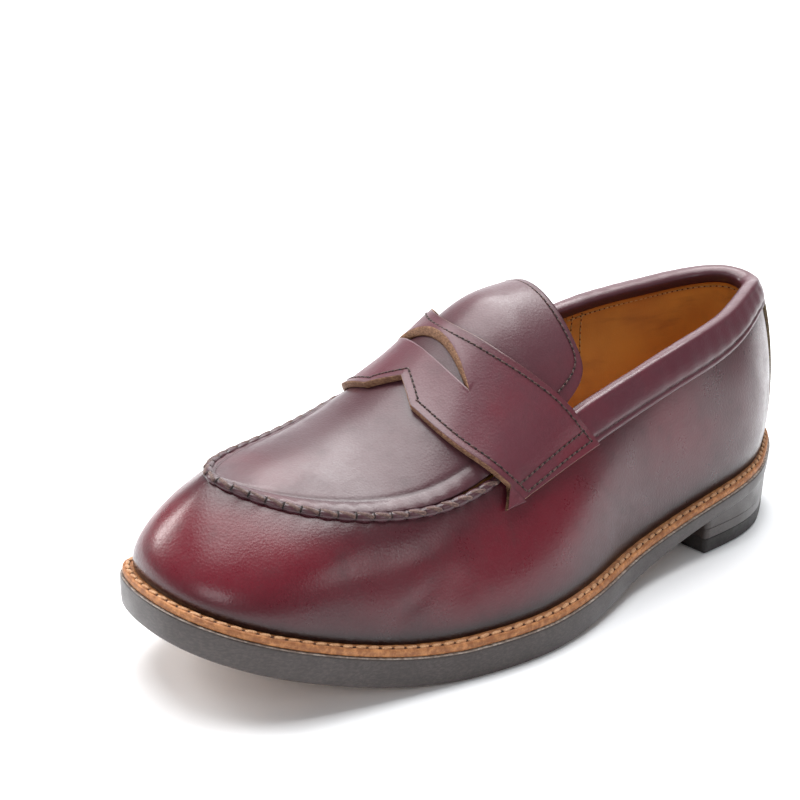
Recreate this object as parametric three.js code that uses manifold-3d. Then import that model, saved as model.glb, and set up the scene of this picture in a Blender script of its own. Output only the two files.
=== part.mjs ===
// Penny loafer, left shoe, men's 27 cm, welted construction.
// Millimetres, +Z up. The toe points to -Y, the outer (lateral) side to +X, the floor is z = 0.
// Stations are measured along the shoe from the back of the outsole: y = HALF_LENGTH - station.
import * as THREE from 'three';
import { mergeVertices } from 'three/addons/utils/BufferGeometryUtils.js';
import Module from 'manifold-3d';

// ---- driving dimensions ----------------------------------------------------------------------
const SHOE_LENGTH = 300;        // outsole, heel back to toe tip
const BALL_WIDTH = 107.5;       // outsole at the ball
const HEEL_HEIGHT = 23.2;       // under the outsole at the very back
const TOE_SPRING = 23.6;        // outsole underside above the floor at the toe tip
const FOREPART_SOLE = 10.4;     // outsole thickness at the ball and toe
const WAIST_SOLE = 6;           // outsole thickness at the heel and waist
const HEEL_LENGTH = 76;         // heel back to heel breast
const TOP_LIFT = 6;             // rubber top piece of the heel
const HEEL_LIFT = 4.4;          // one level lift above it
const HEEL_INSET = 0.8;         // heel sides inside the outsole edge
const WELT_THICKNESS = 2.6;
const WELT_INSET = 0.9;         // welt edge inside the outsole edge
const WELT_SHOW_FORE = 4.6;     // outsole edge to upper at the toe and ball
const WELT_SHOW_WAIST = 4.9;    // outsole edge to upper at the waist
const WELT_SHOW_BACK = 3;       // outsole edge to upper at the heel back
const SEAT_WIDTH = 7;           // lasting margin turned in under the insole
const LEATHER = 1.6;            // upper leather
const LINING = 0.8;             // lining leather
const STIFFENER = 0.9;          // toe puff and heel counter
const PLY_GAP = 0.35;           // clearance between plies
const PLATE_GAP = 0.15;         // clearance between the stacked layers of the bottom
const INSOLE = 2.8;
const SOCK = 1;
const RIB = 2;                  // insole rib
const SHANK_WIDTH = 14;
const SHANK_THICKNESS = 1.6;
const SHANK_LENGTH = 92;
const NAIL_RADIUS = 1.1;
const NAIL_CLEARANCE = 0.3;
const BACK_HEIGHT = 69;         // topline above the outsole at the heel back
const APRON_FRONT = 30;         // toe tip to the front of the apron
const INSTEP_RISE = 30.5;       // arch of the upper above its two toplines
const STRAP_STATION = 173;      // rear edge of the strap, on the middle of the instep
const STRAP_WIDTH = 29;         // rear edge to front edge beside the notch
const STRAP_SWEEP_REAR = 40;    // how far the rear edge runs back towards the strap ends
const STRAP_SWEEP_FRONT = 19.5; // how far the front edge does
const STRAP_DROP = 13.5;        // strap ends below the rim of the wall
const STRAP_LEATHER = 1.7;
const STRAP_LIFT = 1.0;         // strap above the apron and the tongue
const SEAM_LIFT = 1.2;          // more where the strap steps over the rim
const SLOT_STATION = 181;       // ends of the crescent slot
const SLOT_LENGTH = 44;
const SLOT_BACK = 4;            // how far the slot bows back from its ends
const SLOT_FRONT = 2.8;         // how far it bows forward
const SLOT_CENTRE = -8;         // middle of the slot, towards the inner side
const NOTCH_DEPTH = 6.5;
const NOTCH_PLACE = 0.02;      // girth of the notch
const NOTCH_HALF = 0.3;
const TONGUE_LENGTH = 36;       // tongue showing behind the strap
const TONGUE_TUCK = 3;          // tongue under the strap
const TONGUE_GIRTH = 0.96;      // how much of the arch the tongue spans
const TONGUE_SKEW = 4;          // tip of the tongue set back towards the outer side
const TONGUE_LEATHER = 1.5;
const TONGUE_DROP = 0.8;        // tongue below the surface of the instep
const TONGUE_CLEARANCE = 3;     // tongue to the apron and vamp lining in front of it
const BAND_HEIGHT = 13;         // collar band on the outside, at the sides
const BAND_HEIGHT_BACK = 9;
const BAND_LEATHER = 1.3;
const STRIP_WIDTH_TOP = 11;     // heel strip over the back seam
const STRIP_WIDTH_FOOT = 17;
const SEAM_RADIUS = 1.15;       // rolled moccasin seam
const COUNTER_REACH = 0.155;    // heel counter, each way from the heel back, as a share of the round
const PUFF_REACH = 0.115;       // toe puff, each way from the toe
const SEAM_PLACE = 0.165;       // upright lining seam, from the heel back
const ROUND = 72;               // steps round the shoe

const HALF_LENGTH = SHOE_LENGTH / 2;
const LENGTH_SCALE = SHOE_LENGTH / 300;
const WIDTH_SCALE = BALL_WIDTH / 107.5;

// ---- small maths -----------------------------------------------------------------------------
// Natural cubic spline through (knots, values), as a function.
function spline(knots, values) {
  const last = knots.length - 1;
  const bend = new Array(last + 1).fill(0);
  const work = new Array(last + 1).fill(0);
  for (let i = 1; i < last; i++) {
    const ratio = (knots[i] - knots[i - 1]) / (knots[i + 1] - knots[i - 1]);
    const pivot = ratio * bend[i - 1] + 2;
    const rise = (values[i + 1] - values[i]) / (knots[i + 1] - knots[i]);
    const fall = (values[i] - values[i - 1]) / (knots[i] - knots[i - 1]);
    bend[i] = (ratio - 1) / pivot;
    work[i] = (6 * (rise - fall) / (knots[i + 1] - knots[i - 1]) - ratio * work[i - 1]) / pivot;
  }
  for (let i = last - 1; i > 0; i--) bend[i] = bend[i] * bend[i + 1] + work[i];
  bend[0] = 0;
  return (at) => {
    let i = 0;
    while (i < last - 1 && at > knots[i + 1]) i++;
    const step = knots[i + 1] - knots[i];
    const a = (knots[i + 1] - at) / step;
    const b = (at - knots[i]) / step;
    return a * values[i] + b * values[i + 1]
      + ((a ** 3 - a) * bend[i] + (b ** 3 - b) * bend[i + 1]) * step * step / 6;
  };
}

// Closed smooth loop through points (arrays of equal size), as a function of 0..1 by arc length.
function loop(points) {
  const wrap = 4;
  const count = points.length;
  const ring = [];
  for (let i = -wrap; i <= count + wrap; i++) ring.push(points[((i % count) + count) % count]);
  const knots = [0];
  for (let i = 1; i < ring.length; i++) {
    const step = Math.hypot(ring[i][0] - ring[i - 1][0], ring[i][1] - ring[i - 1][1]);
    knots.push(knots[i - 1] + Math.sqrt(step));
  }
  const tracks = points[0].map((_, axis) => spline(knots, ring.map((point) => point[axis])));
  const begin = knots[wrap];
  const span = knots[wrap + count] - begin;
  const raw = (share) => tracks.map((track) => track(begin + span * share));
  const fine = 600;
  const travelled = [0];
  let before = raw(0);
  for (let i = 1; i <= fine; i++) {
    const here = raw(i / fine);
    travelled.push(travelled[i - 1] + Math.hypot(here[0] - before[0], here[1] - before[1]));
    before = here;
  }
  // The halves heel to toe and toe to heel are each spread evenly, so 0.5 is always the toe tip.
  let tip = 0;
  for (let i = 1; i <= fine; i++) if (raw(i / fine)[1] > raw(tip / fine)[1]) tip = i;
  return (share) => {
    const turn = share - Math.floor(share);
    const goal = turn < 0.5
      ? travelled[tip] * turn * 2
      : travelled[tip] + (travelled[fine] - travelled[tip]) * (turn - 0.5) * 2;
    let low = 0;
    let high = fine;
    while (high - low > 1) {
      const middle = (low + high) >> 1;
      if (travelled[middle] <= goal) low = middle;
      else high = middle;
    }
    return raw((low + (goal - travelled[low]) / (travelled[high] - travelled[low])) / fine);
  };
}

const mix = (a, b, share) => a + (b - a) * share;
const ease = (share) => {
  const held = Math.min(1, Math.max(0, share));
  return held * held * (3 - 2 * held);
};

// ---- sole outline and heights ----------------------------------------------------------------
// Outline points as [x, station] on a 300 mm sole, heel back, outer side, toe, inner side.
const OUTLINE = [
  [-2, 0], [10, 6.5], [20.2, 20], [28.3, 34], [34, 54], [36.5, 84], [41, 119], [48, 142],
  [54.2, 166], [55.5, 192], [51.2, 221], [44.5, 252], [35, 278], [17, 295], [-8, 300], [-27, 294.5],
  [-38, 278], [-43.5, 256], [-50.5, 228], [-51.5, 204], [-46.5, 174], [-39, 142], [-33, 116],
  [-30.8, 88], [-32.2, 54], [-30.8, 31], [-24, 14.5], [-13.5, 4],
];
const outline = loop(OUTLINE.map(([x, station]) => [x * WIDTH_SCALE, station * LENGTH_SCALE]));

// x = 0 lies midway between the widest points of the outsole.
const widths = Array.from({ length: 240 }, (_, i) => outline(i / 240)[0]);
const MIDDLE = (Math.max(...widths) + Math.min(...widths)) / 2;
const at = (x, station, z) => new THREE.Vector3(x - MIDDLE, HALF_LENGTH - station, z);

// A point of the outline moved in by inset, as [x, station].
function edge(share, inset) {
  const step = 1e-3;
  const here = outline(share);
  const ahead = outline(share + step);
  const behind = outline(share - step);
  const dx = ahead[0] - behind[0];
  const ds = ahead[1] - behind[1];
  const size = Math.hypot(dx, ds);
  return [here[0] - ds / size * inset, here[1] + dx / size * inset];
}

const soleProfile = spline(
  [0, 40, 76, 110, 140, 170, 200, 228, 262, 300].map((station) => station * LENGTH_SCALE),
  [
    HEEL_HEIGHT, HEEL_HEIGHT * 0.82, HEEL_HEIGHT * 0.6, HEEL_HEIGHT * 0.31, HEEL_HEIGHT * 0.11,
    0.3, -0.4, TOE_SPRING * 0.07, TOE_SPRING * 0.44, TOE_SPRING,
  ],
);
const soleBottom = (station) => Math.max(0, soleProfile(station));
const soleTop = (station) => soleBottom(station)
  + mix(WAIST_SOLE, FOREPART_SOLE, ease((station / SHOE_LENGTH - 0.22) / 0.36));
const weltShow = (station) => mix(
  mix(WELT_SHOW_BACK, WELT_SHOW_WAIST, ease(station / HEEL_LENGTH)),
  WELT_SHOW_FORE,
  ease(station / SHOE_LENGTH),
);

const WELT_TOP = WELT_THICKNESS + PLATE_GAP;
const MARGIN_TOP = WELT_TOP + PLATE_GAP + LEATHER;
const INSOLE_BOTTOM = MARGIN_TOP + PLY_GAP;
const INSOLE_TOP = INSOLE_BOTTOM + INSOLE;
const SOCK_TOP = INSOLE_TOP + PLATE_GAP + SOCK;
const WALL_PLIES = LEATHER + STIFFENER + LINING + 3 * PLY_GAP;

// ---- the upper as one surface ----------------------------------------------------------------
// Upper rim: the topline round the heel and the apron seam round the toe, [x, station, z above
// the outsole's own height]. One loop, heel back, outer side, toe, inner side.
const RIM = [
  [-3, 11.5, BACK_HEIGHT], [5, 21, 69.8], [15, 42, 69.3], [20.5, 59, 68], [25, 80, 68],
  [27, 103, 66.5], [28, 124, 63.6], [30, 146, 59.8], [32.8, 170, 53], [35.5, 194, 46],
  [34.7, 211, 43], [31, 225, 41.3], [25.5, 240, 40.1], [16, 253, 38.8], [6, 263, 38.9],
  [-6, SHOE_LENGTH / LENGTH_SCALE - APRON_FRONT, 40], [-16, 267, 41.2], [-25.5, 256, 43.8],
  [-34, 231, 50.6], [-40, 209, 55.4], [-41.8, 190, 59.2], [-39.3, 160, 64], [-37, 128, 68.8],
  [-36.8, 94, 72.4], [-35.3, 70, 72.2], [-32, 48, 71.6], [-25.5, 23, 71.6], [-14, 11, 70.8],
];
const rimLoop = loop(RIM.map(([x, s, z]) => [x * WIDTH_SCALE, s * LENGTH_SCALE, z]));
function rim(share) {
  const [x, station, height] = rimLoop(share);
  return at(x, station, soleTop(station) + height);
}
function feather(share) {
  const [, station] = outline(share);
  const [x, s] = edge(share, weltShow(station));
  return at(x, s, soleTop(s) + WELT_TOP + PLATE_GAP);
}

// Outward swell of the wall at its lower and upper third, by place round the shoe.
const roundKnots = [0, 0.06, 0.16, 0.3, 0.4, 0.5, 0.6, 0.7, 0.84, 0.94, 1];
const lowSwell = spline(roundKnots, [3.2, 3.2, 1.5, 0, 1, 3, -0.2, -0.8, 0.5, 2.8, 3.2]);
const highSwell = spline(roundKnots, [6, 6, 4.5, 5, 8.5, 10.2, 6.4, 4, 4, 5.5, 6]);

// Wall of the upper: share runs round the shoe, height from 0 at the welt to 1 at the rim.
function wallPoint(place, height) {
  const share = place - Math.floor(place);
  const foot = feather(share);
  const top = rim(share);
  const [ax, as] = edge(share, 0);
  const [bx, bs] = edge(share, 1);
  const out = new THREE.Vector3(ax - bx, bs - as, 0);
  const rise = top.z - foot.z;
  const low = foot.clone().addScaledVector(out, lowSwell(share));
  low.z += rise * 0.42;
  const high = top.clone().addScaledVector(out, highSwell(share));
  high.z -= rise * 0.2;
  return new THREE.CubicBezierCurve3(foot, low, high, top).getPoint(height);
}

// Arch across the top of the upper between the two rims; across is 1 on the outer rim, -1 on the
// inner rim. share is the outer rim's place, 0.5 at the toe.
const archRise = spline(
  [0, 0.3, 0.4, 0.45, 0.5, 0.53, 0.57, 0.61, 0.67, 0.74, 0.82, 0.9, 1].map((k) => k * SHOE_LENGTH),
  [1, 1, 1.01, 1.09, 1.18, 1.19, 1.06, 0.82, 0.52, 0.32, 0.18, 0.02, 0].map((k) => k * INSTEP_RISE),
);
const archShape = (station) => mix(0.75, 1, ease((station / SHOE_LENGTH - 0.5) / 0.3));
const RIDGE_LEAN = 0.17;        // ridge of the arch towards the inner side
function archPoint(share, across) {
  const outer = rim(share);
  const inner = rim(1 - share);
  const middle = HALF_LENGTH - (outer.y + inner.y) / 2;
  const full = 1 - across * across;
  const place = across - RIDGE_LEAN * full;
  const point = inner.clone().lerp(outer, (place + 1) / 2);
  point.z += archRise(middle) * full ** archShape(middle);
  return point;
}

// Place round the outer rim whose arch has its middle at a station.
function archShare(station) {
  let low = 0;
  let high = 0.5;
  for (let i = 0; i < 30; i++) {
    const middle = (low + high) / 2;
    const reached = HALF_LENGTH - (rim(middle).y + rim(1 - middle).y) / 2;
    if (reached < station) low = middle;
    else high = middle;
  }
  return (low + high) / 2;
}

// Offsets along the outward normal.
function offset(surface, u, v, distance, stepU, stepV) {
  const du = surface(u + stepU, v).sub(surface(u - stepU, v));
  const dv = surface(u, v + stepV).sub(surface(u, v - stepV));
  const normal = dv.cross(du).normalize();
  return surface(u, v).addScaledVector(normal, distance);
}
const wallAt = (share, height, distance) => offset(wallPoint, share, height, distance, 2e-3, 1e-2);
const archAt = (share, across, distance) => {
  const held = Math.min(0.96, Math.max(-0.96, across));
  const inward = offset(archPoint, share, held, distance, -2e-3, 1e-2).sub(archPoint(share, held));
  return archPoint(share, across).add(inward);
};

// Girth line across the shoe at a station: 1 to -1 is the arch, past that the walls, where one
// unit more would reach the welt. The ply stands distance outside the surface.
function girthAt(station, girth, distance) {
  const share = archShare(station);
  if (girth > 1) return wallAt(share, 2 - girth, distance);
  if (girth < -1) return wallAt(1 - share, 2 + girth, distance);
  return archAt(share, girth, distance);
}

// ---- solids ----------------------------------------------------------------------------------
function toGeometry(triangles) {
  const geometry = new THREE.BufferGeometry();
  const flat = [];
  for (const corner of triangles) flat.push(corner.x, corner.y, corner.z);
  geometry.setAttribute('position', new THREE.Float32BufferAttribute(flat, 3));
  const merged = mergeVertices(geometry, 1e-3);
  const index = merged.index.array;
  const kept = [];
  for (let i = 0; i < index.length; i += 3) {
    const [a, b, c] = [index[i], index[i + 1], index[i + 2]];
    if (a !== b && b !== c && c !== a) kept.push(a, b, c);
  }
  merged.setIndex(kept);
  return merged;
}

// Turns a closed geometry right side out, by the sign of its volume.
function facingOut(geometry) {
  const place = geometry.attributes.position;
  const index = geometry.index.array;
  const [a, b, c] = [new THREE.Vector3(), new THREE.Vector3(), new THREE.Vector3()];
  let volume = 0;
  for (let i = 0; i < index.length; i += 3) {
    a.fromBufferAttribute(place, index[i]);
    b.fromBufferAttribute(place, index[i + 1]);
    c.fromBufferAttribute(place, index[i + 2]);
    volume += a.dot(b.cross(c));
  }
  if (volume < 0) {
    const turned = [];
    for (let i = 0; i < index.length; i += 3) turned.push(index[i], index[i + 2], index[i + 1]);
    geometry.setIndex(turned);
  }
  geometry.computeVertexNormals();
  return geometry;
}

const quad = (list, a, b, c, d) => list.push(a, b, c, a, c, d);

// Thick sheet between two grids of points of the same size. open says which rims are closed by a
// strip: the first and last row, and both ends of the rows.
function sheet(outer, inner, { firstRow = true, lastRow = true, ends = true } = {}) {
  const list = [];
  const rows = outer.length;
  const columns = outer[0].length;
  for (let i = 0; i + 1 < rows; i++) {
    for (let j = 0; j + 1 < columns; j++) {
      quad(list, outer[i][j], outer[i + 1][j], outer[i + 1][j + 1], outer[i][j + 1]);
      quad(list, inner[i][j], inner[i][j + 1], inner[i + 1][j + 1], inner[i + 1][j]);
    }
    if (ends) {
      const far = columns - 1;
      quad(list, outer[i][0], inner[i][0], inner[i + 1][0], outer[i + 1][0]);
      quad(list, outer[i][far], outer[i + 1][far], inner[i + 1][far], inner[i][far]);
    }
  }
  for (let j = 0; j + 1 < columns; j++) {
    const far = rows - 1;
    if (firstRow) quad(list, outer[0][j], outer[0][j + 1], inner[0][j + 1], inner[0][j]);
    if (lastRow) quad(list, outer[far][j], inner[far][j], inner[far][j + 1], outer[far][j + 1]);
  }
  return facingOut(toGeometry(list));
}

// Solid swept along rings: each ring is one closed section, out along one face of the ply and back
// along the other. closed joins the last ring to the first.
function swept(rings, closed) {
  const list = [];
  const sides = rings[0].length;
  const count = rings.length;
  for (let i = 0; i < (closed ? count : count - 1); i++) {
    const next = rings[(i + 1) % count];
    for (let j = 0; j < sides; j++) {
      const k = (j + 1) % sides;
      quad(list, rings[i][j], rings[i][k], next[k], next[j]);
    }
  }
  if (!closed) {
    for (const ring of [rings[0], [...rings[count - 1]].reverse()]) {
      for (let j = 0; j + 1 < sides / 2; j++) {
        quad(list, ring[j], ring[sides - 1 - j], ring[sides - 2 - j], ring[j + 1]);
      }
    }
  }
  return facingOut(toGeometry(list));
}

// Flat-lying plate between two stations, filling the outline moved in by inset(station).
// A round end closes on the outline itself, a cut end is straight across.
const crossings = new Map();
function insideWidth(inset) {
  const key = inset.toFixed(3);
  if (!crossings.has(key)) {
    const fine = 480;
    const points = [];
    for (let i = 0; i < fine; i++) points.push(edge(i / fine, inset));
    crossings.set(key, points);
  }
  const points = crossings.get(key);
  const stations = points.map((p) => p[1]);
  const back = Math.min(...stations);
  const front = Math.max(...stations);
  const xs = (station) => {
    const hits = [];
    points.forEach((p, i) => {
      const q = points[(i + 1) % points.length];
      if ((p[1] - station) * (q[1] - station) <= 0 && p[1] !== q[1]) {
        hits.push(mix(p[0], q[0], (station - p[1]) / (q[1] - p[1])));
      }
    });
    if (hits.length === 0) {
      const tip = points[stations.indexOf(station < (back + front) / 2 ? back : front)];
      return [tip[0], tip[0]];
    }
    return [Math.max(...hits), Math.min(...hits)];
  };
  return { back, front, xs };
}
function plate({ inset, from = null, to = null, low, high, rows = 32, columns = 1 }) {
  const width = insideWidth(inset);
  const begin = from ?? width.back;
  const end = to ?? width.front;
  const top = [];
  const bottom = [];
  for (let i = 0; i <= rows; i++) {
    const even = i / rows;
    const both = (1 - Math.cos(Math.PI * even)) / 2;
    const fromRound = 1 - Math.cos(Math.PI * even / 2);
    const toRound = Math.sin(Math.PI * even / 2);
    const share = from === null ? (to === null ? both : fromRound) : (to === null ? toRound : even);
    const station = mix(begin, end, share);
    const [outer, inner] = width.xs(station);
    const topRow = [];
    const bottomRow = [];
    for (let j = 0; j <= columns; j++) {
      const x = mix(outer, inner, j / columns);
      topRow.push(at(x, station, high(station)));
      bottomRow.push(at(x, station, low(station)));
    }
    top.push(topRow);
    bottom.push(bottomRow);
  }
  return sheet(top, bottom, { firstRow: from !== null, lastRow: to !== null });
}

const wasm = await Module();
wasm.setup();
function toManifold(geometry) {
  const bare = geometry.clone();
  bare.deleteAttribute('normal');
  const merged = bare.index ? bare : mergeVertices(bare, 1e-4);
  return new wasm.Manifold(new wasm.Mesh({
    numProp: 3,
    vertProperties: new Float32Array(merged.attributes.position.array),
    triVerts: new Uint32Array(merged.index.array),
  }));
}
function cut(geometry, tools) {
  let solid = toManifold(geometry);
  for (const tool of tools) solid = solid.subtract(toManifold(tool));
  const mesh = solid.getMesh();
  const result = new THREE.BufferGeometry();
  result.setAttribute('position', new THREE.Float32BufferAttribute(mesh.vertProperties, 3));
  result.setIndex([...mesh.triVerts]);
  result.computeVertexNormals();
  return result;
}
function closedPrimitive(geometry) {
  geometry.deleteAttribute('normal');
  geometry.deleteAttribute('uv');
  return mergeVertices(geometry, 1e-4);
}

// ---- materials -------------------------------------------------------------------------------
const finish = (color, roughness, metalness = 0) => ({ color, roughness, metalness });
const OXBLOOD = finish(0x4a1722, 0.38);
const PLUM = finish(0x452329, 0.4);
const TAN_LINING = finish(0xb07028, 0.6);
const WELT_TAN = finish(0xb98a5c, 0.7);
const SOLE_BROWN = finish(0x2e2220, 0.5);
const RUBBER = finish(0x1d1817, 0.7);
const BOARD = finish(0xa08060, 0.85);
const CORK = finish(0x8a6238, 0.95);
const STEEL = finish(0x9a9a98, 0.35, 1);
const BRASS = finish(0xb08a48, 0.35, 1);
const THREAD = finish(0x2a1512, 0.8);

const shoe = new THREE.Group();
function add(name, geometry, look) {
  const mesh = new THREE.Mesh(geometry, new THREE.MeshStandardMaterial(look));
  mesh.name = name;
  shoe.add(mesh);
}

// ---- bottom of the shoe ----------------------------------------------------------------------
// Nails stand in the heel seat, driven down from the insole into the lowest leather lift.
const NAILS = [[-7, 33], [3, 33], [-9, 55], [8, 55]];
const nailTop = (station) => soleTop(station) + INSOLE_TOP - 0.4;
const nailFoot = TOP_LIFT + 0.8;
function nailHole([x, station], radius, low, high) {
  const pin = closedPrimitive(new THREE.CylinderGeometry(radius, radius, high - low, 10));
  pin.rotateX(Math.PI / 2);
  const place = at(x * WIDTH_SCALE, station * LENGTH_SCALE, (low + high) / 2);
  return pin.translate(place.x, place.y, place.z);
}
const nailTools = NAILS.map((nail) => nailHole(nail, NAIL_RADIUS + NAIL_CLEARANCE, nailFoot - 0.3,
  nailTop(nail[1] * LENGTH_SCALE) + 0.3));

function addBottom() {
  const breast = HEEL_LENGTH;
  const heelTop = (station) => soleBottom(station) - PLATE_GAP;
  const liftTop = TOP_LIFT + HEEL_LIFT;
  add('top_lift', plate({ inset: HEEL_INSET + 0.8, to: breast - 1, low: () => 0,
    high: () => TOP_LIFT, rows: 12 }), RUBBER);
  add('heel_lift', cut(plate({ inset: HEEL_INSET + 0.4, to: breast - 0.5,
    low: () => TOP_LIFT + PLATE_GAP, high: () => liftTop, rows: 12 }), nailTools), SOLE_BROWN);
  add('heel_wedge', cut(plate({ inset: HEEL_INSET, to: breast,
    low: () => liftTop + PLATE_GAP, high: heelTop, rows: 12 }), nailTools), SOLE_BROWN);
  add('outsole', cut(plate({ inset: 0, low: soleBottom, high: soleTop, rows: 44 }), nailTools),
    SOLE_BROWN);
  const inside = WELT_SHOW_WAIST + SEAT_WIDTH;
  add('insole', cut(plate({ inset: WELT_SHOW_WAIST + WALL_PLIES,
    low: (s) => soleTop(s) + INSOLE_BOTTOM, high: (s) => soleTop(s) + INSOLE_TOP, rows: 36 }),
  nailTools), BOARD);
  add('sock_liner', plate({ inset: WELT_SHOW_WAIST + WALL_PLIES + 1.1,
    low: (s) => soleTop(s) + INSOLE_TOP + PLATE_GAP, high: (s) => soleTop(s) + SOCK_TOP, rows: 36 }),
  TAN_LINING);
  const ribOuter = inside + 0.7;
  const fillerInset = ribOuter + RIB + 0.5;
  const fillerFrom = HEEL_LENGTH + 56;
  add('cork_filler', plate({ inset: fillerInset, from: fillerFrom,
    low: (s) => soleTop(s) + PLATE_GAP, high: (s) => soleTop(s) + INSOLE_BOTTOM - PLATE_GAP,
    rows: 20 }), CORK);
  addRing('insole_rib', ribOuter, ribOuter + RIB, PLATE_GAP, INSOLE_BOTTOM - PLATE_GAP, BOARD);
  addRing('welt', WELT_INSET, inside + 0.3, PLATE_GAP, WELT_TOP, WELT_TAN);
  addShank(fillerFrom);
  NAILS.forEach((nail, i) => add(`heel_nail_${i + 1}`,
    nailHole(nail, NAIL_RADIUS, nailFoot, nailTop(nail[1] * LENGTH_SCALE)), BRASS));
}

// Flat ring that follows the outline, between two insets and two heights above the outsole.
function addRing(name, outerInset, innerInset, low, high, look) {
  const rings = [];
  for (let i = 0; i < ROUND; i++) {
    const share = i / ROUND;
    const [ox, os] = edge(share, outerInset);
    const [ix, is] = edge(share, innerInset);
    rings.push([
      at(ox, os, soleTop(os) + low), at(ix, is, soleTop(is) + low),
      at(ix, is, soleTop(is) + high), at(ox, os, soleTop(os) + high),
    ]);
  }
  add(name, swept(rings, true), look);
}

// Steel shank along the waist, bedded between the outsole and the insole.
function addShank(fillerFrom) {
  const to = fillerFrom - 1;
  const from = to - SHANK_LENGTH;
  const rings = [];
  const steps = 14;
  for (let i = 0; i <= steps; i++) {
    const station = mix(from, to, i / steps);
    const half = SHANK_WIDTH / 2 * (0.8 + 0.2 * Math.sin(Math.PI * i / steps));
    const low = soleTop(station) + 1.2;
    const high = low + SHANK_THICKNESS;
    rings.push([at(1 + half, station, low), at(1 - half, station, low),
      at(1 - half, station, high), at(1 + half, station, high)]);
  }
  add('shank', cut(swept(rings, false), nailTools), STEEL);
}

// ---- upper -----------------------------------------------------------------------------------
const HEIGHTS = [0.03, 0.12, 0.28, 0.46, 0.64, 0.83, 1];
const STEP = 1 / ROUND;

// Margin of the upper: the edge lying under the insole, at a depth inside the feather line.
function marginPoint(share, depth, height) {
  const [, station] = outline(share);
  const [x, s] = edge(share, weltShow(station) + depth);
  return at(x, s, soleTop(s) + WELT_TOP + PLATE_GAP + height);
}

// Ply on the inside of the wall between two heights and two places round the shoe.
function wallPly(fromStep, toStep, heights, near, far) {
  const outer = [];
  const inner = [];
  for (let i = fromStep; i <= toStep; i++) {
    const share = i * STEP;
    outer.push(heights.map((h) => wallAt(share, h, -near(share, h))));
    inner.push(heights.map((h) => wallAt(share, h, -far(share, h))));
  }
  return sheet(outer, inner);
}

function addWall() {
  const rings = [];
  const slit = STEP * 0.035;
  for (let i = 0; i <= ROUND; i++) {
    const share = Math.min(1 - slit, Math.max(slit, i * STEP));
    const outside = HEIGHTS.map((h) => wallAt(share, h, 0));
    const inside = HEIGHTS.slice(1).map((h) => wallAt(share, h, -LEATHER)).reverse();
    rings.push([
      marginPoint(share, SEAT_WIDTH, 0), marginPoint(share, 1.2, 0), ...outside, ...inside,
      marginPoint(share, LEATHER + 0.9, LEATHER), marginPoint(share, SEAT_WIDTH / 2, LEATHER),
      marginPoint(share, SEAT_WIDTH, LEATHER),
    ]);
  }
  add('vamp_wall', swept(rings, false), OXBLOOD);
}

// Stiffened zones: 1 over the toe and the heel, 0 along the waist.
const COUNTER_STEPS = Math.round(COUNTER_REACH * ROUND);
const PUFF_STEPS = Math.round(PUFF_REACH * ROUND);
const FADE_STEPS = 2.2;
function liningDepth(share) {
  const fromHeel = Math.min(share, 1 - share) * ROUND;
  const fromToe = Math.abs(share - 0.5) * ROUND;
  const heel = 1 - ease((fromHeel - COUNTER_STEPS - 0.4) / FADE_STEPS);
  const toe = 1 - ease((fromToe - PUFF_STEPS - 0.4) / FADE_STEPS);
  return LEATHER + PLY_GAP + Math.max(heel, toe) * (STIFFENER + PLY_GAP);
}

const LINING_SEAM_STEP = Math.round(SEAM_PLACE * ROUND);
const BUTT_GAP = 0.06;          // gap at a butted lining seam, in steps

// Steps from one place to another: both ends and the whole steps between them.
function stepsBetween(from, to) {
  const steps = [from];
  for (let i = Math.floor(from) + 1; i < to; i++) steps.push(i);
  steps.push(to);
  return steps;
}

function addLinings() {
  const low = HEIGHTS.slice(1);
  const tall = [...low.slice(0, -1), 0.96];
  const plyNear = () => LEATHER + PLY_GAP;
  const plyFar = () => LEATHER + PLY_GAP + STIFFENER;
  const near = (share) => liningDepth(share);
  const far = (share) => liningDepth(share) + LINING;
  const toeStep = ROUND / 2;
  add('heel_counter', wallPly(-COUNTER_STEPS, COUNTER_STEPS, low.slice(0, 4), plyNear, plyFar),
    BOARD);
  add('toe_puff', wallPly(toeStep - PUFF_STEPS, toeStep + PUFF_STEPS, low.slice(0, 5), plyNear,
    plyFar), BOARD);
  add('heel_lining', wallPly(-LINING_SEAM_STEP, LINING_SEAM_STEP, tall, near, far), TAN_LINING);
  const vampStep = archShare(apronBack(1)) * ROUND;
  const back = LINING_SEAM_STEP + BUTT_GAP;
  const front = vampStep - BUTT_GAP;
  add('side_lining_outer', wallPly(back, front, tall, near, far), TAN_LINING);
  add('side_lining_inner', wallPly(ROUND - front, ROUND - back, tall, near, far), TAN_LINING);
  addVampLining(vampStep, low);
}

const FRONT_ROWS = 5;           // rows that even out the curved back edge of apron and lining

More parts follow.
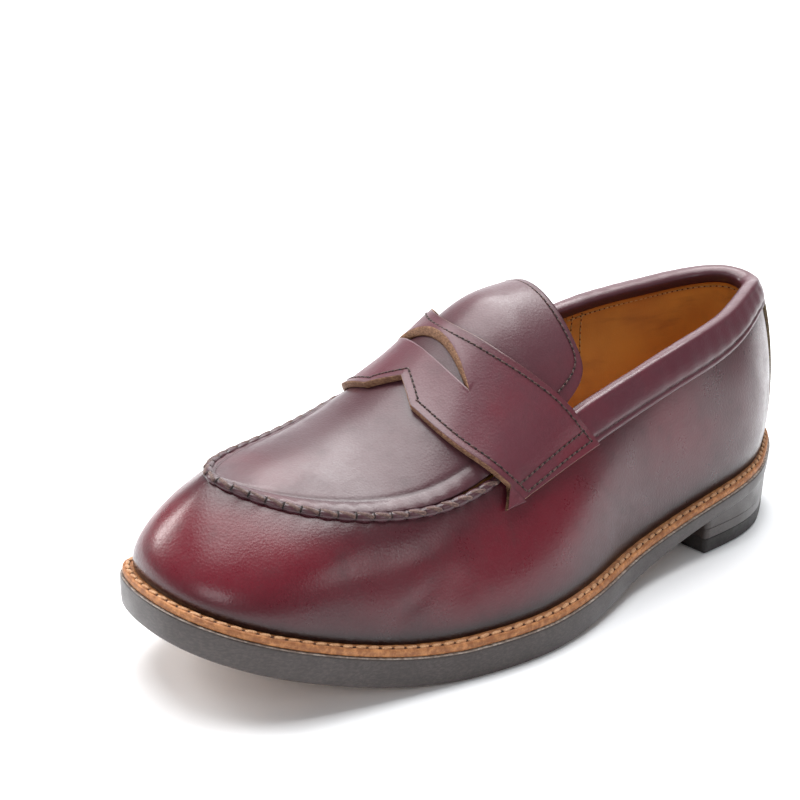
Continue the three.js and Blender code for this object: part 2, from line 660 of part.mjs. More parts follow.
// Lining of the forepart, from the tongue to the toe: up one wall, over and down the other.
function addVampLining(vampStep, heights) {
  const under = heights.slice(0, -1);
  const arch = [0.9, 0.62, 0.22, -0.22, -0.62, -0.9];
  const archDepth = LEATHER + PLY_GAP + 0.1;
  const steps = stepsBetween(vampStep, ROUND / 2);
  const layer = (ply) => steps.map((step, row) => {
    const share = step * STEP;
    const depth = liningDepth(share) + ply;
    const outer = under.map((h) => wallAt(share, h, -depth));
    const inner = under.map((h) => wallAt(1 - share, h, -depth)).reverse();
    const width = rim(share).distanceTo(rim(1 - share));
    const room = Math.max(0, 1 - 9 / Math.max(width, 9));
    const tip = outer[outer.length - 1];
    const over = arch.map((k) => {
      if (step === ROUND / 2) return tip.clone();
      const girth = k * room;
      const place = row < FRONT_ROWS
        ? mix(archShare(apronBack(girth)), steps[FRONT_ROWS] * STEP, row / FRONT_ROWS) : share;
      return archAt(place, girth, -archDepth - ply);
    });
    if (step === ROUND / 2) inner.forEach((p, i) => p.copy(outer[outer.length - 1 - i]));
    return [...outer, ...over, ...inner];
  });
  add('vamp_lining', sheet(layer(0), layer(LINING), { lastRow: false }), TAN_LINING);
}

// Rear edges of the strap, of the apron and of the tongue, as stations along the girth.
const strapRear = spline(
  [-1.4, -1.14, -0.98, -0.84, -0.6, -0.2, 0.18, 0.42, 0.6, 0.84, 0.98, 1.14, 1.4],
  [1.02, 0.78, 0.62, 0.42, 0.18, 0, 0.01, 0.09, 0.19, 0.43, 0.63, 0.79, 1.03]
    .map((share) => STRAP_STATION - share * STRAP_SWEEP_REAR),
);
const strapFrontBase = spline(
  [-1.3, -1, -0.7, -0.45, -0.2, 0.1, 0.5, 0.8, 1, 1.3],
  [0.75, 0.2, -0.06, -0.08, -0.02, 0.1, 0.24, 0.5, 0.86, 1.46]
    .map((share) => STRAP_STATION + STRAP_WIDTH - share * STRAP_SWEEP_FRONT),
);
const strapFront = (girth) => strapFrontBase(girth)
  - NOTCH_DEPTH * Math.max(0, 1 - Math.abs(girth - NOTCH_PLACE) / NOTCH_HALF);
const tongueFront = (girth) => strapRear(girth) + TONGUE_TUCK;
const tongueBack = (girth) => STRAP_STATION - TONGUE_LENGTH - TONGUE_SKEW * girth
  + 0.4 * TONGUE_LENGTH * Math.abs(girth / TONGUE_GIRTH) ** 24;
const apronBack = (girth) => strapRear(girth * 0.98) + TONGUE_TUCK + TONGUE_CLEARANCE;

// Height on the wall that lies a number of millimetres below its rim.
function belowRim(share, drop) {
  let height = 1;
  let length = 0;
  let before = wallPoint(share, 1);
  while (length < drop && height > 0.05) {
    height -= 0.01;
    const here = wallPoint(share, height);
    length += here.distanceTo(before);
    before = here;
  }
  return height;
}

// Ply over the arch between two girths: rows run from its rear edge to its front edge.
function archPly({ back, front, girths, rows, near, far }) {
  const layer = (distance) => {
    const grid = [];
    for (let i = 0; i <= rows; i++) {
      grid.push(girths.map((girth) => {
        const station = mix(back(girth), front(girth), i / rows);
        return archAt(archShare(station), girth, distance);
      }));
    }
    return grid;
  };
  return sheet(layer(near), layer(far));
}

function addTongue() {
  const girths = [-1, -0.96, -0.88, -0.72, -0.5, -0.25, 0, 0.25, 0.5, 0.72, 0.88, 0.96, 1]
    .map((k) => k * TONGUE_GIRTH);
  const shape = { back: tongueBack, front: tongueFront, girths, rows: 6 };
  const under = -TONGUE_DROP - TONGUE_LEATHER;
  add('tongue', archPly({ ...shape, near: -TONGUE_DROP, far: under }), PLUM);
  add('tongue_lining', archPly({ ...shape, near: under - 0.3, far: under - 0.3 - LINING }),
    TAN_LINING);
}

// Apron: the plug of the moccasin front, from under the strap to the toe seam.
const APRON_MARGIN = LEATHER + 0.4;
function addApron() {
  const columns = 10;
  const layer = (distance) => {
    const grid = [];
    const begin = archShare(apronBack(0));
    const steps = [begin, ...stepsBetween(begin * ROUND + 0.8, ROUND / 2 - 2).map((k) => k * STEP)];
    steps.forEach((share, row) => {
      const row0 = [];
      for (let j = 0; j <= columns; j++) {
        const girth = Math.sin((j / columns - 0.5) * Math.PI);
        let place = share;
        if (row === 0) place = archShare(apronBack(girth));
        if (row > 0 && row < FRONT_ROWS) {
          place = mix(archShare(apronBack(girth)), steps[FRONT_ROWS], row / FRONT_ROWS);
        }
        const width = rim(place).distanceTo(rim(1 - place));
        row0.push(archAt(place, girth * (1 - 2 * APRON_MARGIN / width), distance));
      }
      grid.push(row0);
    });
    return grid;
  };
  add('apron', sheet(layer(0), layer(-LEATHER)), PLUM);
}

// Rolled seam that joins the apron to the wall.
const rimOut = (share) => {
  const side = wallAt(share, 0.97, 1).sub(wallPoint(share, 0.97));
  const folded = Math.min(share, 1 - share);
  const edgeGirth = share <= 0.5 ? 0.96 : -0.96;
  const held = Math.min(folded, 0.49);
  const above = archAt(held, edgeGirth, 1).sub(archPoint(held, edgeGirth));
  return side.add(above).normalize();
};
function addSeam() {
  const from = archShare(strapFrontBase(1) + 2) * ROUND;
  const to = ROUND - archShare(strapFrontBase(-1) + 2) * ROUND;
  const sides = 8;
  const rings = stepsBetween(from, to).map((step) => {
    const share = step * STEP;
    const out = rimOut(share);
    const along = rim(share + STEP / 4).sub(rim(share - STEP / 4)).normalize();
    const across = new THREE.Vector3().crossVectors(along, out).normalize();
    const centre = rim(share).addScaledVector(out, SEAM_RADIUS + 0.35);
    const ring = [];
    for (let k = 0; k < sides; k++) {
      const turn = (k + 0.5) / sides * Math.PI * 2;
      ring.push(centre.clone().addScaledVector(out, Math.cos(turn) * SEAM_RADIUS)
        .addScaledVector(across, Math.sin(turn) * SEAM_RADIUS));
    }
    return ring;
  });
  add('moccasin_seam', swept(rings, false), THREAD);
}

// Saddle strap over the instep, with its notch in front and the crescent slot.
function addStrap() {
  const rows = 6;
  const half = 11;
  const girths = [];
  for (let j = -half; j <= half; j++) girths.push(j / half);
  girths.splice(girths.findIndex((g) => g > NOTCH_PLACE), 1, NOTCH_PLACE);
  girths.sort((a, b) => a - b);
  const limit = girths.map((girth) => girth * 1.2);
  const base = [];
  const girthGrid = [];
  for (let i = 0; i <= rows; i++) {
    const row = [];
    const places = [];
    for (const share of limit) {
      const station = mix(strapRear(share), strapFront(share), i / rows);
      const place = archShare(station);
      const side = share > 0 ? place : 1 - place;
      const reach = 2 - belowRim(side, STRAP_DROP);
      const girth = share * reach / 1.2;
      row.push(girthAt(mix(strapRear(girth), strapFront(girth), i / rows), girth, 0));
      places.push(girth);
    }
    base.push(row);
    girthGrid.push(places);
  }
  for (let pass = 0; pass < 2; pass++) {
    for (const row of base) {
      const old = row.map((p) => p.clone());
      for (let j = 1; j + 1 < row.length; j++) {
        row[j].copy(old[j]).multiplyScalar(2).add(old[j - 1]).add(old[j + 1]).multiplyScalar(0.25);
      }
    }
  }
  const layer = (extra) => base.map((row, i) => row.map((p, j) => {
    const along = base[Math.min(i + 1, rows)][j].clone().sub(base[Math.max(i - 1, 0)][j]);
    const across = row[Math.min(j + 1, row.length - 1)].clone().sub(row[Math.max(j - 1, 0)]);
    const out = along.cross(across).normalize();
    const rise = SEAM_LIFT * Math.exp(-(((Math.abs(girthGrid[i][j]) - 1) / 0.12) ** 2));
    return p.clone().addScaledVector(out, STRAP_LIFT + rise + extra);
  }));
  const blank = sheet(layer(STRAP_LEATHER), layer(0));
  add('saddle_strap', cut(blank, [slotTool()]), PLUM);
}

// Crescent tool that cuts the slot straight down through the strap.
function slotTool() {
  const half = SLOT_LENGTH / 2;
  const steps = 12;
  const corners = [];
  for (let i = 0; i <= steps; i++) {
    const q = i / steps * 2 - 1;
    corners.push([SLOT_CENTRE + q * half, SLOT_STATION - SLOT_BACK * (1 - q * q)]);
  }
  for (let i = 1; i < steps; i++) {
    const q = 1 - i / steps * 2;
    corners.push([SLOT_CENTRE + q * half, SLOT_STATION + SLOT_FRONT * (1 - q * q)]);
  }
  const shape = new THREE.Shape(corners.map(([x, s]) => new THREE.Vector2(x - MIDDLE, HALF_LENGTH - s)));
  const depth = 60;
  const tool = new THREE.ExtrudeGeometry(shape, { depth, bevelEnabled: false, steps: 1 });
  return closedPrimitive(tool.translate(0, 0, soleTop(SLOT_STATION) + 50));
}

// Collar band folded over the topline, from one strap end round the heel to the other.
const bandDrop = (share) => mix(BAND_HEIGHT_BACK, BAND_HEIGHT,
  ease(Math.min(share, 1 - share) * ROUND / 10));
function addBand() {
  const steps = 44;
  const endGirths = [1, 1.35];
  const rings = [];
  for (let i = 0; i <= steps; i++) {
    const way = i / steps * 2 - 1;
    const side = way < 0 ? 1 : -1;
    const share = (height) => {
      const girth = Math.min(endGirths[1], Math.max(endGirths[0], 2 - height)) * side;
      const end = archShare(strapRear(girth) - 1.7);
      const held = Math.abs(way);
      const straight = archShare(strapRear(1.35 * side) - 1.7);
      const place = mix(straight * held, end, ease((held - 0.72) / 0.28));
      return side > 0 ? place : 1 - place;
    };
    const rimShare = share(1);
    const lowest = belowRim(rimShare, bandDrop(rimShare));
    const outer = [lowest, mix(lowest, 1, 0.5), 1];
    const upward = wallPoint(rimShare, 1).sub(wallPoint(rimShare, 0.97)).normalize();
    const depth = liningDepth(rimShare) + LINING + 2 * PLY_GAP;
    const clear = PLY_GAP;
    const thick = clear + BAND_LEATHER;
    const level = (height, distance, lift) => wallAt(share(height), height, distance)
      .addScaledVector(upward, lift);
    const tuck = belowRim(rimShare, 3.5);
    rings.push([
      ...outer.map((h) => level(h, thick, 0)), level(1, -LEATHER / 2, thick),
      level(1, -depth - BAND_LEATHER, 0), level(tuck, -depth - BAND_LEATHER, 0),
      level(tuck, -depth, 0), level(1, -depth, clear), level(1, clear, clear),
      ...outer.slice(0, -1).reverse().map((h) => level(h, clear, 0)),
    ]);
  }
  add('collar_band', swept(rings, false), OXBLOOD);
}

// Strip over the back seam, from the collar band down to the welt.
function addStrip() {
  const rows = 8;
  const columns = 4;
  const top = belowRim(0, BAND_HEIGHT_BACK + 0.8);
  const layer = (distance) => {
    const grid = [];
    for (let i = 0; i <= rows; i++) {
      const height = mix(0.05, top, i / rows);
      const unit = wallPoint(0.01, height).distanceTo(wallPoint(-0.01, height)) / 0.02;
      const half = mix(STRIP_WIDTH_FOOT, STRIP_WIDTH_TOP, i / rows) / 2 / unit;
      const row = [];
      for (let j = 0; j <= columns; j++) {
        row.push(wallAt((j / columns * 2 - 1) * half, height, distance));
      }
      grid.push(row);
    }
    return grid;
  };
  add('heel_strip', sheet(layer(PLY_GAP + BAND_LEATHER), layer(PLY_GAP)), OXBLOOD);
}

addBottom();
addWall();
addLinings();
addApron();
addSeam();
addTongue();
addStrap();
addBand();
addStrip();

export default shoe;
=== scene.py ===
import math

import bmesh
import bpy
import numpy as np
from mathutils import Matrix, Vector


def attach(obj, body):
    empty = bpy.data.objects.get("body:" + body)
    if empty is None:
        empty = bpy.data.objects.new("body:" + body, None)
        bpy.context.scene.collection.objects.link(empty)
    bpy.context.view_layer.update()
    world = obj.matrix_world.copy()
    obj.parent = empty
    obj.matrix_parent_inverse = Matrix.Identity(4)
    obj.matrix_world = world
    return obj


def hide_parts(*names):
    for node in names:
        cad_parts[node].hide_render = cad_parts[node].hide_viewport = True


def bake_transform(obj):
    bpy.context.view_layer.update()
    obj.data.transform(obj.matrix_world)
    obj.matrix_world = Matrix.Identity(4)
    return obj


# Penny loafer, left shoe: the visible model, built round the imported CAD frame.
# Shapes are worked out in millimetres on the same surfaces as the CAD model and turned to metres
# when a mesh is made. Toe to -Y, outer side to +X, floor at z = 0. Stations run along the shoe
# from the back of the outsole.

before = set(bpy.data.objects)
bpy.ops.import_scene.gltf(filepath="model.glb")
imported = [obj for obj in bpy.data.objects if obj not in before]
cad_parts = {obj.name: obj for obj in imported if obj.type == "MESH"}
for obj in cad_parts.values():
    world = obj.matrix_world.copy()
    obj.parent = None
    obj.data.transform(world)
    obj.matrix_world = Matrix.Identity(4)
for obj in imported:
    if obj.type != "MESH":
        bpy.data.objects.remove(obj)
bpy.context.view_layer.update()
RNG = np.random.default_rng(7)
MM = 0.001

# ---- driving dimensions, mm -------------------------------------------------------------------
SHOE_LENGTH = 300
HALF_LENGTH = SHOE_LENGTH / 2
HEEL_HEIGHT = 23.2
TOE_SPRING = 23.6
FOREPART_SOLE = 10.4
WAIST_SOLE = 6
HEEL_LENGTH = 76
TOP_LIFT = 6
HEEL_LIFT = 4.4
HEEL_INSET = 0.8
WELT_THICKNESS = 2.6
WELT_INSET = 0.9
WELT_SHOW_FORE = 4.6
WELT_SHOW_WAIST = 4.9
WELT_SHOW_BACK = 3
LEATHER = 1.6
LINING = 0.8
STIFFENER = 0.9
PLY_GAP = 0.35
PLATE_GAP = 0.15
INSOLE = 2.8
SOCK = 1
BACK_HEIGHT = 69
APRON_FRONT = 30
INSTEP_RISE = 30.5
STRAP_STATION = 173
STRAP_WIDTH = 29
STRAP_SWEEP_REAR = 40
STRAP_SWEEP_FRONT = 19.5
STRAP_DROP = 13.5
STRAP_LEATHER = 1.7
STRAP_LIFT = 1.0
SEAM_LIFT = 1.2
SLOT_STATION = 181
SLOT_LENGTH = 44
SLOT_BACK = 4
SLOT_FRONT = 2.8
SLOT_CENTRE = -8
NOTCH_DEPTH = 6.5
NOTCH_PLACE = 0.02
NOTCH_HALF = 0.3
TONGUE_LENGTH = 36
TONGUE_TUCK = 3
TONGUE_GIRTH = 0.96
TONGUE_SKEW = 4
TONGUE_LEATHER = 1.5
TONGUE_DROP = 0.8
TONGUE_CLEARANCE = 3
BAND_HEIGHT = 13
BAND_HEIGHT_BACK = 9
BAND_LEATHER = 1.3
STRIP_WIDTH_TOP = 11
STRIP_WIDTH_FOOT = 17
ROUND = 72
COUNTER_STEPS = 11
PUFF_STEPS = 8
SEAM_PLACE = 0.165

OUTLINE = [
    (-2, 0), (10, 6.5), (20.2, 20), (28.3, 34), (34, 54), (36.5, 84), (41, 119), (48, 142),
    (54.2, 166), (55.5, 192), (51.2, 221), (44.5, 252), (35, 278), (17, 295), (-8, 300),
    (-27, 294.5), (-38, 278), (-43.5, 256), (-50.5, 228), (-51.5, 204), (-46.5, 174), (-39, 142),
    (-33, 116), (-30.8, 88), (-32.2, 54), (-30.8, 31), (-24, 14.5), (-13.5, 4),
]
RIM = [
    (-3, 11.5, BACK_HEIGHT), (5, 21, 69.8), (15, 42, 69.3), (20.5, 59, 68), (25, 80, 68),
    (27, 103, 66.5), (28, 124, 63.6), (30, 146, 59.8), (32.8, 170, 53), (35.5, 194, 46),
    (34.7, 211, 43), (31, 225, 41.3), (25.5, 240, 40.1), (16, 253, 38.8), (6, 263, 38.9),
    (-6, SHOE_LENGTH - APRON_FRONT, 40), (-16, 267, 41.2), (-25.5, 256, 43.8),
    (-34, 231, 50.6), (-40, 209, 55.4), (-41.8, 190, 59.2), (-39.3, 160, 64), (-37, 128, 68.8),
    (-36.8, 94, 72.4), (-35.3, 70, 72.2), (-32, 48, 71.6), (-25.5, 23, 71.6), (-14, 11, 70.8),
]


# ---- small maths ------------------------------------------------------------------------------
def mix(a, b, share):
    return a + (b - a) * share


def ease(share):
    held = np.clip(share, 0, 1)
    return held * held * (3 - 2 * held)


def bell(value, width):
    return np.exp(-((value / width) ** 2))


def unit(vectors):
    return vectors / np.maximum(np.linalg.norm(vectors, axis=-1, keepdims=True), 1e-12)


class Spline:
    """Natural cubic spline through knots and values; values may have several columns."""

    def __init__(self, knots, values):
        self.knots = np.asarray(knots, float)
        self.values = np.asarray(values, float)
        count = len(self.knots)
        step = np.diff(self.knots)
        system = np.eye(count)
        right = np.zeros_like(self.values)
        for i in range(1, count - 1):
            system[i, i - 1:i + 2] = step[i - 1] / 6, (step[i - 1] + step[i]) / 3, step[i] / 6
            rise = (self.values[i + 1] - self.values[i]) / step[i]
            right[i] = rise - (self.values[i] - self.values[i - 1]) / step[i - 1]
        self.bend = np.linalg.solve(system, right)

    def __call__(self, at):
        at = np.asarray(at, float)
        i = np.clip(np.searchsorted(self.knots, at) - 1, 0, len(self.knots) - 2)
        step = self.knots[i + 1] - self.knots[i]
        a = (self.knots[i + 1] - at) / step
        b = (at - self.knots[i]) / step
        if self.values.ndim > 1:
            a, b, step = a[..., None], b[..., None], step[..., None]
        curve = (a ** 3 - a) * self.bend[i] + (b ** 3 - b) * self.bend[i + 1]
        return a * self.values[i] + b * self.values[i + 1] + curve * step * step / 6


class Loop:
    """Closed smooth loop; 0 is its first point, 0.5 the point furthest along the shoe."""

    WRAP = 4
    FINE = 600

    def __init__(self, points):
        points = np.array(points, float)
        count = len(points)
        ring = points[np.arange(-self.WRAP, count + self.WRAP + 1) % count]
        chords = np.hypot(*np.diff(ring[:, :2], axis=0).T)
        knots = np.concatenate([[0], np.cumsum(np.sqrt(chords))])
        self.track = Spline(knots, ring)
        self.begin = knots[self.WRAP]
        self.span = knots[self.WRAP + count] - self.begin
        self.places = np.linspace(0, 1, self.FINE + 1)
        fine = self.raw(self.places)
        self.run = np.concatenate([[0], np.cumsum(np.hypot(*np.diff(fine[:, :2], axis=0).T))])
        self.tip = self.run[np.argmax(fine[:, 1])]

    def raw(self, share):
        return self.track(self.begin + self.span * share)

    def __call__(self, share):
        turn = np.asarray(share, float) % 1.0
        first = self.tip * turn * 2
        second = self.tip + (self.run[-1] - self.tip) * (turn - 0.5) * 2
        return self.raw(np.interp(np.where(turn < 0.5, first, second), self.run, self.places))


# ---- the shoe's surfaces ----------------------------------------------------------------------
outline = Loop(OUTLINE)
rim_loop = Loop(RIM)
_widths = outline(np.arange(240) / 240)[:, 0]
MIDDLE = (_widths.max() + _widths.min()) / 2


def at(x, station, z):
    return np.stack(np.broadcast_arrays(x - MIDDLE, HALF_LENGTH - station, z), axis=-1)


def edge(share, inset):
    """Outline moved in by inset, as (x, station)."""
    along = outline(share + 1e-3) - outline(share - 1e-3)
    inward = unit(np.stack([-along[..., 1], along[..., 0]], axis=-1))
    return outline(share) + inward * np.asarray(inset, float)[..., None]


sole_profile = Spline(
    [0, 40, 76, 110, 140, 170, 200, 228, 262, 300],
    [HEEL_HEIGHT, HEEL_HEIGHT * 0.82, HEEL_HEIGHT * 0.6, HEEL_HEIGHT * 0.31, HEEL_HEIGHT * 0.11,
     0.3, -0.4, TOE_SPRING * 0.07, TOE_SPRING * 0.44, TOE_SPRING],
)


def sole_bottom(station):
    return np.maximum(0, sole_profile(station))


def sole_top(station):
    thick = mix(WAIST_SOLE, FOREPART_SOLE, ease((station / SHOE_LENGTH - 0.22) / 0.36))
    return sole_bottom(station) + thick


def welt_show(station):
    waist = mix(WELT_SHOW_BACK, WELT_SHOW_WAIST, ease(station / HEEL_LENGTH))
    return mix(waist, WELT_SHOW_FORE, ease(station / SHOE_LENGTH))


WELT_TOP = WELT_THICKNESS + PLATE_GAP
INSOLE_BOTTOM = WELT_TOP + PLATE_GAP + LEATHER + PLY_GAP
INSOLE_TOP = INSOLE_BOTTOM + INSOLE
SOCK_TOP = INSOLE_TOP + PLATE_GAP + SOCK
WALL_PLIES = LEATHER + STIFFENER + LINING + 3 * PLY_GAP

ROUND_KNOTS = [0, 0.06, 0.16, 0.3, 0.4, 0.5, 0.6, 0.7, 0.84, 0.94, 1]
low_swell = Spline(ROUND_KNOTS, [3.2, 3.2, 1.5, 0, 1, 3, -0.2, -0.8, 0.5, 2.8, 3.2])
high_swell = Spline(ROUND_KNOTS, [6, 6, 4.5, 5, 8.5, 10.2, 6.4, 4, 4, 5.5, 6])


def rim(share):
    x, station, height = np.moveaxis(rim_loop(share), -1, 0)
    return at(x, station, sole_top(station) + height)


def margin(share, depth, height):
    """Point on the lasting margin, depth inside the feather line, height above it."""
    station = outline(share)[..., 1]
    x, station = np.moveaxis(edge(share, welt_show(station) + depth), -1, 0)
    return at(x, station, sole_top(station) + WELT_TOP + PLATE_GAP + height)


def wall(share, height):
    """Wall of the upper, from the welt (height 0) to the rim (height 1)."""
    share, height = np.broadcast_arrays(np.asarray(share, float) % 1.0, height)
    foot = margin(share, 0, 0)
    top = rim(share)
    step = edge(share, 0) - edge(share, 1)
    out = np.stack([step[..., 0], -step[..., 1], np.zeros_like(share)], axis=-1)
    rise = (top - foot)[..., 2:] * np.array([0, 0, 1.0])
    low = foot + out * low_swell(share)[..., None] + rise * 0.42
    high = top + out * high_swell(share)[..., None] - rise * 0.2
    t = height[..., None]
    u = 1 - t
    return foot * u ** 3 + low * 3 * u * u * t + high * 3 * u * t * t + top * t ** 3


arch_rise = Spline(
    [0, 90, 120, 135, 150, 159, 171, 183, 201, 222, 246, 270, 300],
    np.array([1, 1, 1.01, 1.09, 1.18, 1.19, 1.06, 0.82, 0.52, 0.32, 0.18, 0.02, 0]) * INSTEP_RISE,
)
RIDGE_LEAN = 0.17


def arch(share, across):
    """Arch over the instep; across is 1 on the outer rim and -1 on the inner rim."""
    share, across = np.broadcast_arrays(share, across)
    outer, inner = rim(share), rim(1 - share)
    middle = HALF_LENGTH - (outer[..., 1] + inner[..., 1]) / 2
    full = np.maximum(0, 1 - across * across)
    place = (across - RIDGE_LEAN * full + 1) / 2
    point = inner + (outer - inner) * place[..., None]
    shape = mix(0.75, 1, ease((middle / SHOE_LENGTH - 0.5) / 0.3))
    point[..., 2] += arch_rise(middle) * full ** shape
    return point


_shares = np.linspace(0, 0.5, 2001)
_middles = HALF_LENGTH - (rim(_shares)[:, 1] + rim(1 - _shares)[:, 1]) / 2


def arch_share(station):
    return np.interp(station, _middles, _shares)


def lifted(surface, u, v, distance, step_u, step_v):
    """Point of a surface moved along its normal, and the normal."""
    du = surface(u + step_u, v) - surface(u - step_u, v)
    dv = surface(u, v + step_v) - surface(u, v - step_v)
    normal = unit(np.cross(dv, du))
    return surface(u, v) + normal * np.asarray(distance, float)[..., None], normal


def wall_at(share, height, distance=0.0):
    return lifted(wall, share, height, distance, 2e-3, 1e-2)[0]


def wall_normal(share, height):
    return lifted(wall, share, height, 0.0, 2e-3, 1e-2)[1]


def arch_normal(share, across):
    return lifted(arch, share, np.clip(across, -0.96, 0.96), 0.0, -2e-3, 1e-2)[1]


def arch_at(share, across, distance=0.0):
    reach = np.asarray(distance, float)[..., None]
    return arch(share, across) + arch_normal(share, across) * reach


def girth_at(station, girth):
    """Line across the shoe: 1 to -1 over the arch, beyond that down the walls."""
    station, girth = np.broadcast_arrays(station, girth)
    share = arch_share(station)
    held = np.clip(girth, -1, 1)
    side = np.where(girth > 0, share, 1 - share)
    over = arch(share, held)
    down = wall(side, np.clip(2 - np.abs(girth), 0, 1))
    return np.where((np.abs(girth) > 1)[..., None], down, over)


def below_rim(share, drop):
    """Height on the wall that lies drop millimetres below its rim."""
    share = np.atleast_1d(share)
    heights = np.linspace(1, 0.2, 81)
    points = wall(share[:, None], heights[None, :])
    run = np.cumsum(np.linalg.norm(np.diff(points, axis=1), axis=-1), axis=1)
    run = np.concatenate([np.zeros((len(share), 1)), run], axis=1)
    drops = np.broadcast_to(drop, share.shape)
    return np.array([np.interp(d, r, heights) for d, r in zip(drops, run)])


def lining_depth(share):
    share = np.asarray(share, float) % 1.0
    from_heel = np.minimum(share, 1 - share) * ROUND
    from_toe = np.abs(share - 0.5) * ROUND
    heel = 1 - ease((from_heel - COUNTER_STEPS - 0.4) / 2.2)
    toe = 1 - ease((from_toe - PUFF_STEPS - 0.4) / 2.2)
    return LEATHER + PLY_GAP + np.maximum(heel, toe) * (STIFFENER + PLY_GAP)


strap_rear = Spline(
    [-1.4, -1.14, -0.98, -0.84, -0.6, -0.2, 0.18, 0.42, 0.6, 0.84, 0.98, 1.14, 1.4],
    STRAP_STATION - STRAP_SWEEP_REAR * np.array(
        [1.02, 0.78, 0.62, 0.42, 0.18, 0, 0.01, 0.09, 0.19, 0.43, 0.63, 0.79, 1.03]),
)
strap_front_base = Spline(
    [-1.3, -1, -0.7, -0.45, -0.2, 0.1, 0.5, 0.8, 1, 1.3],
    STRAP_STATION + STRAP_WIDTH - STRAP_SWEEP_FRONT * np.array(
        [0.75, 0.2, -0.06, -0.08, -0.02, 0.1, 0.24, 0.5, 0.86, 1.46]),
)


def strap_front(girth):
    notch = np.maximum(0, 1 - np.abs(girth - NOTCH_PLACE) / NOTCH_HALF)
    return strap_front_base(girth) - NOTCH_DEPTH * notch


def tongue_back(girth):
    corner = 0.4 * TONGUE_LENGTH * np.abs(girth / TONGUE_GIRTH) ** 24
    return STRAP_STATION - TONGUE_LENGTH - TONGUE_SKEW * girth + corner


# ---- materials --------------------------------------------------------------------------------
class Look:
    """A procedural material: a Principled shader and the nodes that feed it."""

    def __init__(self, name, **constants):
        self.material = bpy.data.materials.new(name)
        self.material.use_nodes = True
        self.nodes = self.material.node_tree.nodes
        self.links = self.material.node_tree.links
        self.shader = self.nodes["Principled BSDF"]
        for key, value in constants.items():
            self.shader.inputs[key.replace("_", " ")].default_value = value
        self.coordinates = self.nodes.new("ShaderNodeTexCoord").outputs["Object"]

    def node(self, kind, inputs=None, **settings):
        node = self.nodes.new(kind)
        for key, value in settings.items():
            setattr(node, key, value)
        for key, value in (inputs or {}).items():
            self.feed(node.inputs[key], value)
        return node

    def feed(self, socket, value):
        if isinstance(value, bpy.types.NodeSocket):
            self.links.new(value, socket)
        else:
            socket.default_value = value

    def noise(self, scale, detail=4.0, roughness=0.55, stretch=None):
        where = self.coordinates
        if stretch:
            where = self.node("ShaderNodeMapping", {"Vector": where, "Scale": stretch}).outputs[0]
        return self.node("ShaderNodeTexNoise", {
            "Vector": where, "Scale": scale, "Detail": detail, "Roughness": roughness,
        }).outputs["Fac"]

    def cells(self, scale):
        return self.node("ShaderNodeTexVoronoi", {"Vector": self.coordinates, "Scale": scale},
                         feature="F1").outputs["Distance"]

    def remap(self, value, low, high, to_low=0.0, to_high=1.0):
        return self.node("ShaderNodeMapRange", {
            "Value": value, "From Min": low, "From Max": high,
            "To Min": to_low, "To Max": to_high}, interpolation_type="SMOOTHSTEP").outputs[0]

    def blend(self, share, a, b):
        node = self.node("ShaderNodeMix", data_type="RGBA", blend_type="MIX")
        self.feed(node.inputs[0], share)
        self.feed(node.inputs[6], a)
        self.feed(node.inputs[7], b)
        return node.outputs[2]

    def sum(self, a, b):
        return self.node("ShaderNodeMath", {0: a, 1: b}, operation="ADD").outputs[0]

    def attribute(self, name):
        return self.node("ShaderNodeAttribute", attribute_name=name).outputs["Fac"]

    def bump(self, layers):
        """Layers of (height, strength, distance in metres), the coarsest first."""
        normal = None
        for height, strength, distance in layers:
            inputs = {"Height": height, "Strength": strength, "Distance": distance}
            if normal is not None:
                inputs["Normal"] = normal
            normal = self.node("ShaderNodeBump", inputs).outputs[0]
        self.links.new(normal, self.shader.inputs["Normal"])

    def finish(self, colour, roughness):
        self.feed(self.shader.inputs["Base Color"], colour)
        self.feed(self.shader.inputs["Roughness"], roughness)
        return self.material


def rgb(red, green, blue):
    return (red, green, blue, 1.0)


def upper_leather(name, body, glow, shade, gloss, coat):
    """Polished upper leather: body colour, red glow where burnished, painted shade in the folds."""
    look = Look(name, Specular_IOR_Level=0.4, Coat_Weight=coat, Coat_Roughness=0.22,
                Coat_IOR=1.5)
    cloud = look.noise(22, 5, 0.6)
    mottle = look.noise(95, 6, 0.62)
    fine = look.noise(900, 3, 0.6)
    pores = look.cells(1150)
    warmth = look.sum(look.attribute("glow"), look.remap(cloud, 0.38, 0.66, -0.16, 0.2))
    colour = look.blend(look.remap(warmth, 0.05, 0.95), body, glow)
    colour = look.blend(look.remap(mottle, 0.5, 0.78, 0.0, 0.28), colour, shade)
    # Painted shade: the shade attribute darkens folds, seams, recesses and parts that lie under
    # others.
    colour = look.blend(look.attribute("shade"), colour, shade)
    paler = rgb(*[c * 1.5 for c in body[:3]])
    colour = look.blend(look.remap(fine, 0.55, 0.8, 0, 0.22), colour, paler)
    rough = look.sum(look.remap(mottle, 0.3, 0.75, gloss, gloss + 0.12),
                     look.remap(fine, 0.3, 0.8, 0, 0.08))
    creases = look.noise(260, 5, 0.68, stretch=(1, 0.55, 1))
    look.bump([(creases, 0.10, 0.0003), (pores, 0.22, 0.0002), (fine, 0.2, 0.00012)])
    return look.finish(colour, rough)


def cut_edge(name, body, shade, roughness=0.7):
    """Raw cut edge of leather: fibres in fine layers."""
    look = Look(name, Specular_IOR_Level=0.3)
    fibres = look.noise(800, 6, 0.7, stretch=(1, 1, 2.5))
    patches = look.noise(140, 4)
    colour = look.blend(look.remap(fibres, 0.35, 0.7), shade, body)
    colour = look.blend(look.remap(patches, 0.45, 0.7, 0, 0.45), colour, shade)
    look.bump([(fibres, 0.6, 0.0004)])
    return look.finish(colour, look.remap(patches, 0.3, 0.7, roughness - 0.08, roughness + 0.1))


